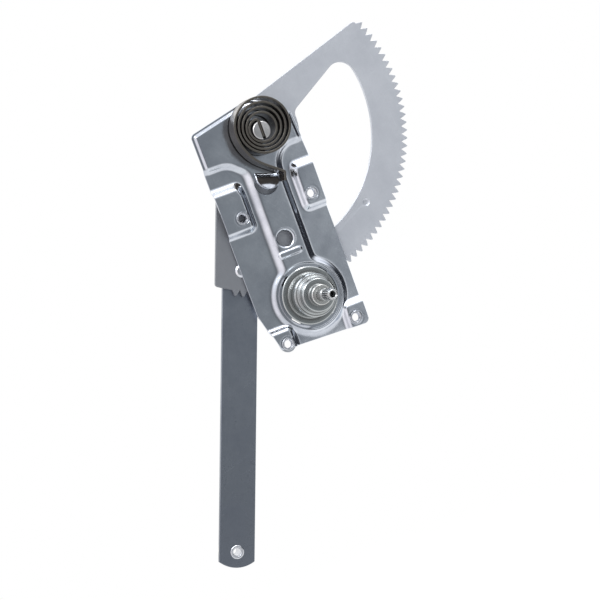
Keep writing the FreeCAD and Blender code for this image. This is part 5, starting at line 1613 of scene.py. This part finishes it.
@dataclass
class SpiralSpring:
    """The counterbalance spring: one strip from the pin's slot to its hook on the tongue."""

    thickness: float = 1.9
    width: float = 16.5
    front: float = -18.0
    pin_radius: float = 7.6
    clear: float = 1.2
    pitch: float = 3.55
    turns: int = 4
    bend: float = 1.7
    drift: float = 0.45
    tail_turn: float = 52.0
    hook: float = 6.5

    def runs(self) -> list[tuple[float, float]]:
        """The strip's runs and bends, from the slot outwards.

        Returns:
            The length of each run or bend with its turn in degrees, left turns positive.
        """
        start = self.pin_radius + self.clear + self.thickness / 2
        quarter = self.pitch / 4
        inner = [(start - self.bend + self.pin_radius * 0.7, 0.0)]
        radii = [self.bend, start - self.bend, start + quarter + self.bend / 2]
        radii += [start + quarter * number + (self.drift if number % 4 == 2 else 0.0)
                  for number in range(2, self.turns * 4 + 1)]
        inner += [(radius * math.pi / 2, 90.0) for radius in radii]
        place = self.path(inner)[0][-1]
        tilt = math.radians(TONGUE_TILT)
        turn = math.radians(self.tail_turn)
        side = self.thickness / 2 + 0.3
        goal_x = TONGUE[0] + TONGUE_HALF * math.cos(tilt) + side * math.cos(turn) - PIVOT[0]
        goal_z = TONGUE[1] - TONGUE_HALF * math.sin(tilt) + side * math.sin(turn) - PIVOT[1]
        gap_x = goal_x - place[0]
        gap_z = place[1] - goal_z
        last = (math.sin(turn) * gap_z - math.cos(turn) * gap_x) / (1 - math.cos(turn))
        tail = (math.sin(turn) * gap_x - (1 - math.cos(turn)) * gap_z) / (1 - math.cos(turn))
        outer = [(last * turn, self.tail_turn), (tail, 0.0),
                 (side * (turn + tilt), -self.tail_turn - TONGUE_TILT), (self.hook, 0.0)]
        return inner + outer

    def path(self, runs: list[tuple[float, float]]) -> tuple[Array, Array, Array]:
        """The strip's middle line.

        The heading grows evenly along each bend, and the place is the running sum of short
        chords along the heading.

        Args:
            runs: Lengths and turns.

        Returns:
            Places about the pivot, headings in radians and lengths from the slot.
        """
        lengths = np.array([run[0] for run in runs])
        turns = np.radians([run[1] for run in runs])
        ends = np.concatenate([[0.0], np.cumsum(lengths)])
        heading_ends = np.concatenate([[np.pi / 2], np.pi / 2 + np.cumsum(turns)])
        fine = np.unique(np.concatenate([np.arange(0.0, ends[-1], 0.02), ends]))
        heading = np.interp(fine, ends, heading_ends)
        middle = (heading[1:] + heading[:-1]) / 2
        step = np.diff(fine)
        x = np.concatenate([[0.0], np.cumsum(np.cos(middle) * step)])
        z = np.concatenate([[0.0], np.cumsum(np.sin(middle) * step)]) - self.pin_radius * 0.7
        return np.stack([x, z], axis=1), heading, fine

    def build(self, shop: Workshop) -> None:
        """Carry the strip's rounded section along the path and let it wind with the joint.

        A section point (n, y) becomes the path's place plus n along the path's left normal
        and y along Y. Each point turns with the pin by a share that falls to nothing where
        the strip leaves the coil for its hook.

        Args:
            shop: The workshop, which dresses pieces and puts them on their bodies.
        """
        runs = self.runs()
        places, heading, length = self.path(runs)
        chosen = np.unique(np.concatenate([
            np.searchsorted(length, np.arange(0.0, length[-1], 1.15)),
            np.searchsorted(length, np.arange(length[-1] - 24.0, length[-1], 0.45)),
            np.searchsorted(length, np.arange(0.0, 16.0, 0.45)), [len(length) - 1]]))
        places, heading, length = places[chosen], heading[chosen], length[chosen]
        half = self.thickness / 2
        section = rounded_loop([(-half, 0.0), (half, 0.0), (half, self.width), (-half, self.width)],
                               [0.42] * 4, 4)
        middle_y = np.linspace(0.6, self.width - 0.6, 6)
        right = np.stack([np.full(6, half), middle_y], axis=1)
        left = np.stack([np.full(6, -half), middle_y[::-1]], axis=1)
        section = np.concatenate([section[:8], right, section[8:], left])
        order = np.argsort(np.arctan2((section[:, 1] - self.width / 2) / self.width,
                                      section[:, 0] / self.thickness))
        section = section[order]
        normal = np.stack([-np.sin(heading), np.cos(heading)], axis=1)
        x = PIVOT[0] + places[:, :1] + normal[:, :1] * section[:, 0]
        z = PIVOT[1] + places[:, 1:] + normal[:, 1:] * section[:, 0]
        y = self.front + section[None, :, 1] + 0 * x
        grid = np.stack([x, y, z], axis=2)
        ends = np.minimum(section[:, 1], self.width - section[:, 1])
        edge = np.broadcast_to(soft_step(1.0 - ends / 0.5)[None, :], x.shape)
        middle = grid.mean(axis=1, keepdims=True)
        grid = np.concatenate([np.broadcast_to(middle[:1], grid[:1].shape), grid,
                               np.broadcast_to(middle[-1:], grid[-1:].shape)])
        edge = np.concatenate([edge[:1], edge, edge[-1:]])
        surface = Surface()
        surface.add_grid(grid, close_v=True, mark=edge)
        piece = surface.write("spiral_spring", 50.0)
        piece.data.materials.append(shop.material(SPRING_STRIP))
        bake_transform(piece, "base", "lift", start=(0.004, 0.0, 0.07), end=(0.004, 0.0, 0.118))
        self.wind(piece, places, length, sum(run[0] for run in runs[:-4]))
        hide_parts("counterbalance_spring")
        LOG.info("spiral spring: %.0f mm of strip", length[-1])

    def wind(self, piece: bpy.types.Object, places: Array, length: Array, coil: float) -> None:
        """Set each point's share of the pin's turn by its length along the strip.

        Args:
            piece: The spring.
            places: The path's places about the pivot.
            length: The lengths at those places.
            coil: The length at which the strip leaves the coil.
        """
        count = len(piece.data.vertices)
        points = np.zeros(count * 3, np.float32)
        piece.data.vertices.foreach_get("co", points)
        points = points.reshape(-1, 3) / MM
        flat = np.stack([points[:, 0] - PIVOT[0], points[:, 2] - PIVOT[1]], axis=1)
        nearest = np.concatenate([
            np.argmin(((block[:, None, :] - places[None, :, :]) ** 2).sum(axis=2), axis=1)
            for block in np.array_split(flat, max(1, count // 2000))])
        share = np.clip(1.0 - (length[nearest] - 14.0) / (coil - 14.0), 0.0, 1.0)
        layer = piece.data.attributes["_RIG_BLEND"]
        layer.data.foreach_set("value", share.astype(np.float32))


@dataclass(frozen=True)
class Softened:
    """A CAD piece of flat or plain form whose edges are broken in a copy."""

    node: str
    name: str
    body: str
    slot: str
    finish: Finish
    bevel: float = 0.25

    def build(self, shop: Workshop) -> None:
        """Copy the node, break its edges and dress it."""
        piece = softened_copy(self.node, self.name, self.bevel)
        shop.fit(piece, self.finish, self.body, self.slot, self.node)


@dataclass
class LiftGroup:
    """Sector, arm, slotted pin and the small pieces that turn with them."""

    pieces: tuple[Softened | TurnedPiece, ...] = (
        Softened("sector_gear", "blanked_sector", "lift", "zinc_sector", SECTOR_ZINC, 0.28),
        Softened("lift_arm", "flat_lift_arm", "lift", "zinc_arm", ARM_ZINC, 0.4),
        Softened("pivot_pin", "slotted_pin", "lift", "zinc_pin", PIN_ZINC, 0.3),
        Softened("arm_rivets", "sector_rivets", "lift", "zinc_fastener", FASTENER_ZINC, 0.3),
        Softened("roller_clip", "roller_ring", "lift", "hardened_steel", GEAR_STEEL, 0.15),
        TurnedPiece("hollow_roller_pin", "roller_pin", "lift", "zinc_fastener", FASTENER_ZINC,
                    ROLLER, [
                        (3.4, 11.75, 0.3), (3.75, 11.28, 0.3), (5.2, 11.28, 0.35),
                        (5.7, 11.6, 0.2), (5.7, 12.0, 0.0), (5.0, 12.0, 0.0), (5.0, 16.0, 0.0),
                        (7.1, 16.0, 0.25), (7.1, 17.7, 0.3), (5.0, 17.7, 0.1),
                        (5.0, 28.5, 0.1), (4.7, 28.8, 0.1), (3.4, 28.8, 0.2)], 72),
        TurnedPiece("grooved_roller", "roller", "roller_body", "roller_plastic", ROLLER_PLASTIC,
                    ROLLER, [
                        (5.05, 18.0, 0.1), (8.2, 18.0, 0.3), (8.6, 18.5, 0.3),
                        (11.2, 18.5, 0.3), (11.6, 18.0, 0.3), (12.2, 18.0, 0.3),
                        (13.0, 18.8, 0.4), (13.0, 21.0, 0.35), (11.4, 21.8, 0.4),
                        (11.4, 23.2, 0.4), (13.0, 24.0, 0.35), (13.0, 26.2, 0.4),
                        (12.2, 27.0, 0.3), (11.6, 27.0, 0.3), (11.2, 26.5, 0.3),
                        (8.6, 26.5, 0.3), (8.2, 27.0, 0.3), (5.05, 27.0, 0.1)]))

    def build(self, shop: Workshop) -> None:
        """Build every piece of the lift body except the spring.

        Args:
            shop: The workshop, which dresses pieces and puts them on their bodies.
        """
        for piece in self.pieces:
            piece.build(shop)


@dataclass
class BearingGroup:
    """Bushes, washers, pinion and the pieces inside the brake."""

    pieces: tuple[Softened | TurnedPiece, ...] = (
        TurnedPiece("flanged_shaft_bush", "shaft_bush", "base", "bright_bush", BUSH_STEEL, CRANK, [
            (5.15, -33.1, 0.25), (8.0, -33.1, 0.35), (8.35, -32.7, 0.2), (8.35, -32.05, 0.1),
            (6.25, -32.05, 0.0), (6.25, -23.4, 0.1), (5.15, -23.4, 0.1)]),
        TurnedPiece("pivot_sleeve", "pivot_bush", "base", "bright_bush", BUSH_STEEL, PIVOT, [
            (6.05, 1.0, 0.1), (8.05, 1.0, 0.1), (8.05, 3.0, 0.0), (12.05, 3.0, 0.3),
            (12.05, 8.4, 0.3), (6.05, 8.4, 0.1)]),
        TurnedPiece("pin_washer", "pivot_washer", "base", "zinc_fastener", FASTENER_ZINC, PIVOT, [
            (6.05, -0.5, 0.1), (10.05, -0.5, 0.3), (10.05, 1.0, 0.1), (6.05, 1.0, 0.0)]),
        TurnedPiece("neck_bush", "plate_bush", "base", "bearing_plastic", BUSH_PLASTIC, CRANK, [
            (6.55, 1.0, 0.1), (8.55, 1.0, 0.1), (8.55, 3.0, 0.0), (10.55, 3.0, 0.2),
            (10.55, 6.75, 0.3), (6.55, 6.75, 0.1)]),
        TurnedPiece("sector_guide_washer", "guide_washer", "crank", "zinc_fastener",
                    FASTENER_ZINC, CRANK, [
                        (6.55, 6.9, 0.1), (13.5, 6.9, 0.3), (13.5, 8.2, 0.3), (6.55, 8.2, 0.1)]),
        Softened("pinion", "cut_pinion", "crank", "hardened_steel", GEAR_STEEL, 0.18),
        Softened("retaining_ring", "spindle_ring", "crank", "hardened_steel", GEAR_STEEL, 0.12))
    inside_brake: tuple[tuple[str, Finish], ...] = (
        ("thrust_washer", GEAR_STEEL), ("input_driver", GEAR_STEEL),
        ("output_driver", GEAR_STEEL), ("brake_spring", SPRING_STRIP), ("dust_seal", SEAL_RUBBER))

    def build(self, shop: Workshop) -> None:
        """Build the bearings and dress the nodes inside the housing.

        Args:
            shop: The workshop, which dresses pieces and puts them on their bodies.
        """
        for piece in self.pieces:
            piece.build(shop)
        for node, finish in self.inside_brake:
            shop.dress_node(node, finish)


@dataclass(frozen=True)
class Lamp:
    """A rectangular soft lamp, placed by the picture's right, up and back directions."""

    name: str
    right: float
    up: float
    back: float
    size: tuple[float, float]
    power: float


@dataclass(frozen=True)
class Panel:
    """A part of the surrounding room: how its share grows along one axis, and its colour."""

    axis: int
    sense: float
    start: float
    full: float
    colour: Colour
    strength: float = 1.0


@dataclass
class Studio:
    """Camera at the photograph's angle, soft lamps, a pale floor and a white surround."""

    azimuth: float = -16.0
    elevation: float = 5.0
    roll: float = 20.0
    distance: float = 1.6
    millimetres_per_pixel: float = 0.827
    origin_pixel: tuple[float, float] = (300.2, 268.2)
    picture: int = 600
    sensor: float = 36.0
    floor_height: float = -0.42
    floor_rings: tuple[float, ...] = (0.0, 250.0, 600.0, 950.0)
    floor_near: tuple[float, float] = (0.25, 0.85)
    shadow: float = 0.12
    target: tuple[float, float, float] = (-0.01, 0.0, 0.0)
    lamps: tuple[Lamp, ...] = (
        Lamp("key_left", -1.0, 1.0, 1.0, (0.8, 0.8), 13.0),
        Lamp("top_strip", 0.2, 1.3, 0.3, (1.2, 0.3), 8.0),
        Lamp("rear_left", -1.0, 0.8, -1.1, (0.9, 0.9), 4.5),
        Lamp("rear_right", 1.1, 0.5, -1.2, (0.9, 0.9), 4.5))
    wall: Colour = (0.15, 0.16, 0.168)
    behind: tuple[float, float] = (0.35, 0.7)
    room: tuple[Panel, ...] = (
        Panel(0, 1.0, -0.2, 0.26, (0.33, 0.35, 0.365)),
        Panel(0, 1.0, 0.27, 0.4, (0.48, 0.5, 0.515)),
        Panel(0, 1.0, 0.46, 0.52, (1.0, 1.0, 1.0)),
        Panel(0, -1.0, 0.0, 0.85, (1.35, 1.28, 1.29)),
        Panel(0, -1.0, 0.88, 1.0, (0.5, 0.5, 0.52), 0.75),
        Panel(0, 1.0, 0.58, 0.68, (0.035, 0.038, 0.045)),
        Panel(1, 1.0, 0.2, 0.8, (0.4, 0.41, 0.43), 0.8),
        Panel(2, -1.0, 0.16, 0.6, (0.72, 0.72, 0.73)),
        Panel(2, 1.0, 0.15, 0.55, (1.35, 1.36, 1.4)))

    def axes(self) -> tuple[Vector, Vector, Vector]:
        """The picture's right and up directions and the direction back to the camera.

        Returns:
            Three unit directions in the frame's axes.
        """
        turn = math.radians(self.azimuth)
        lift = math.radians(self.elevation)
        back = Vector((math.sin(turn) * math.cos(lift), -math.cos(turn) * math.cos(lift),
                       math.sin(lift)))
        level = Vector((math.cos(turn), math.sin(turn), 0.0))
        rise = back.cross(level)
        lean = math.radians(self.roll)
        right = level * math.cos(lean) - rise * math.sin(lean)
        up = level * math.sin(lean) + rise * math.cos(lean)
        return right, up, back

    def camera(self) -> None:
        """Place the camera so that the frame's origin falls on its pixel of the picture."""
        right, up, back = self.axes()
        pixel = self.millimetres_per_pixel * MM
        aim = (right * (self.picture / 2 - self.origin_pixel[0]) * pixel
               - up * (self.picture / 2 - self.origin_pixel[1]) * pixel)
        data = bpy.data.cameras.new("picture_camera")
        data.sensor_width = self.sensor
        data.lens = self.sensor * self.distance / (self.picture * pixel)
        data.clip_start = 0.05
        data.clip_end = 30.0
        camera = bpy.data.objects.new("picture_camera", data)
        basis = Matrix((right, up, back)).transposed().to_4x4()
        basis.translation = aim + back * self.distance
        camera.matrix_world = basis
        bpy.context.scene.collection.objects.link(camera)
        bpy.context.scene.camera = camera

    def light(self, lamp: Lamp) -> None:
        """Place one lamp, aimed at the part.

        Args:
            lamp: The lamp's place, size and power.
        """
        right, up, back = self.axes()
        place = back * lamp.back + right * lamp.right + up * lamp.up
        data = bpy.data.lights.new(lamp.name, "AREA")
        data.shape = "RECTANGLE"
        data.size, data.size_y = lamp.size
        data.energy = lamp.power
        made = bpy.data.objects.new(lamp.name, data)
        made.location = place
        made.rotation_euler = (place - Vector(self.target)).to_track_quat("Z", "Y").to_euler()
        bpy.context.scene.collection.objects.link(made)

    def seen_rays(self, tree: ShaderTree) -> Value:
        """1 for the rays that show the background: camera, glossy and transmission rays.

        Args:
            tree: The tree that asks.

        Returns:
            1 or 0 for the ray at hand.
        """
        path = tree.node("LightPath")
        shown = tree.out(path, "Is Camera Ray") + tree.out(path, "Is Glossy Ray")
        return tree.maths("MINIMUM", shown + tree.out(path, "Is Transmission Ray"), 1.0)

    def surround(self) -> None:
        """The world: white to the camera, otherwise a grey room with bright sides.

        The room starts as a grey wall, and each panel in turn is mixed over it by its share,
        which grows with the direction along the panel's axis.
        """
        world = bpy.data.worlds.new("white_room")
        bpy.context.scene.world = world
        world.use_nodes = True
        tree = ShaderTree(world.node_tree)
        direction = tree.axes(tree.out(tree.node("TexCoord"), "Generated"))
        room: Value | Colour = self.wall
        for panel in self.room:
            share = tree.smooth(direction[panel.axis] * panel.sense, panel.start, panel.full)
            room = tree.mixed(share * panel.strength, room, panel.colour)
        camera = tree.out(tree.node("LightPath"), "Is Camera Ray")
        behind = self.seen_rays(tree) * tree.smooth(direction[1], *self.behind)
        shown = tree.mixed(tree.maths("MAXIMUM", camera, behind), room, (1.0, 1.0, 1.0))
        background = tree.node("Background", None, Color=shown, Strength=1.0)
        tree.node("OutputWorld", None, Surface=tree.out(background))

    def floor(self) -> None:
        """The floor: a wide disc, white to the camera apart from the part's faint shadow."""
        surface = Surface()
        turn = np.linspace(0.0, 2 * np.pi, 65)[:-1][:, None]
        radius = np.array([self.floor_rings])
        height = np.full((len(turn), radius.size), self.floor_height / MM)
        surface.add_grid(np.stack([radius * np.cos(turn), radius * np.sin(turn), height], axis=2),
                         close_u=True)
        floor = surface.write("pale_floor")
        material = bpy.data.materials.new("pale_floor")
        material.use_nodes = True
        tree = ShaderTree(material.node_tree)
        shown = self.seen_rays(tree)
        cloud = tree.noise(tree.place(), 3.0)
        across, along, _ = tree.axes(tree.place())
        near = 1.0 - tree.smooth((across * across + along * along) ** 0.5, *self.floor_near)
        matt = tree.node("BsdfPrincipled", None, Base_Color=tree.mixed(
            cloud, (0.86, 0.86, 0.86), (0.9, 0.9, 0.9)), Roughness=0.8)
        glow = tree.node("Emission", None, Color=(1.0, 1.0, 1.0, 1.0), Strength=1.0)
        mix = tree.node("MixShader", None, _0=shown * (1.0 - near * self.shadow),
                        _1=tree.out(matt), _2=tree.out(glow))
        tree.node("OutputMaterial", None, Surface=tree.out(mix))
        floor.data.materials.append(material)

    def build(self) -> None:
        """Set up the whole studio."""
        bpy.context.scene.view_settings.view_transform = "Standard"
        self.camera()
        self.surround()
        self.floor()
        for lamp in self.lamps:
            self.light(lamp)


def main() -> None:
    """Build every sub-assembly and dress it."""
    logging.basicConfig(level=logging.INFO, format="%(name)s: %(message)s")
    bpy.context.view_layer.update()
    shop = Workshop()
    StampedPlate().build(shop)
    ClinchNuts().build(shop)
    BrakeHousing().build(shop)
    CrankShaft().build(shop)
    BearingGroup().build(shop)
    LiftGroup().build(shop)
    SpiralSpring().build(shop)
    Studio().build()
    LOG.info("%d pieces, %d finishes", shop.pieces + 1, len(shop.made))


if __name__ == "__main__":
    main()
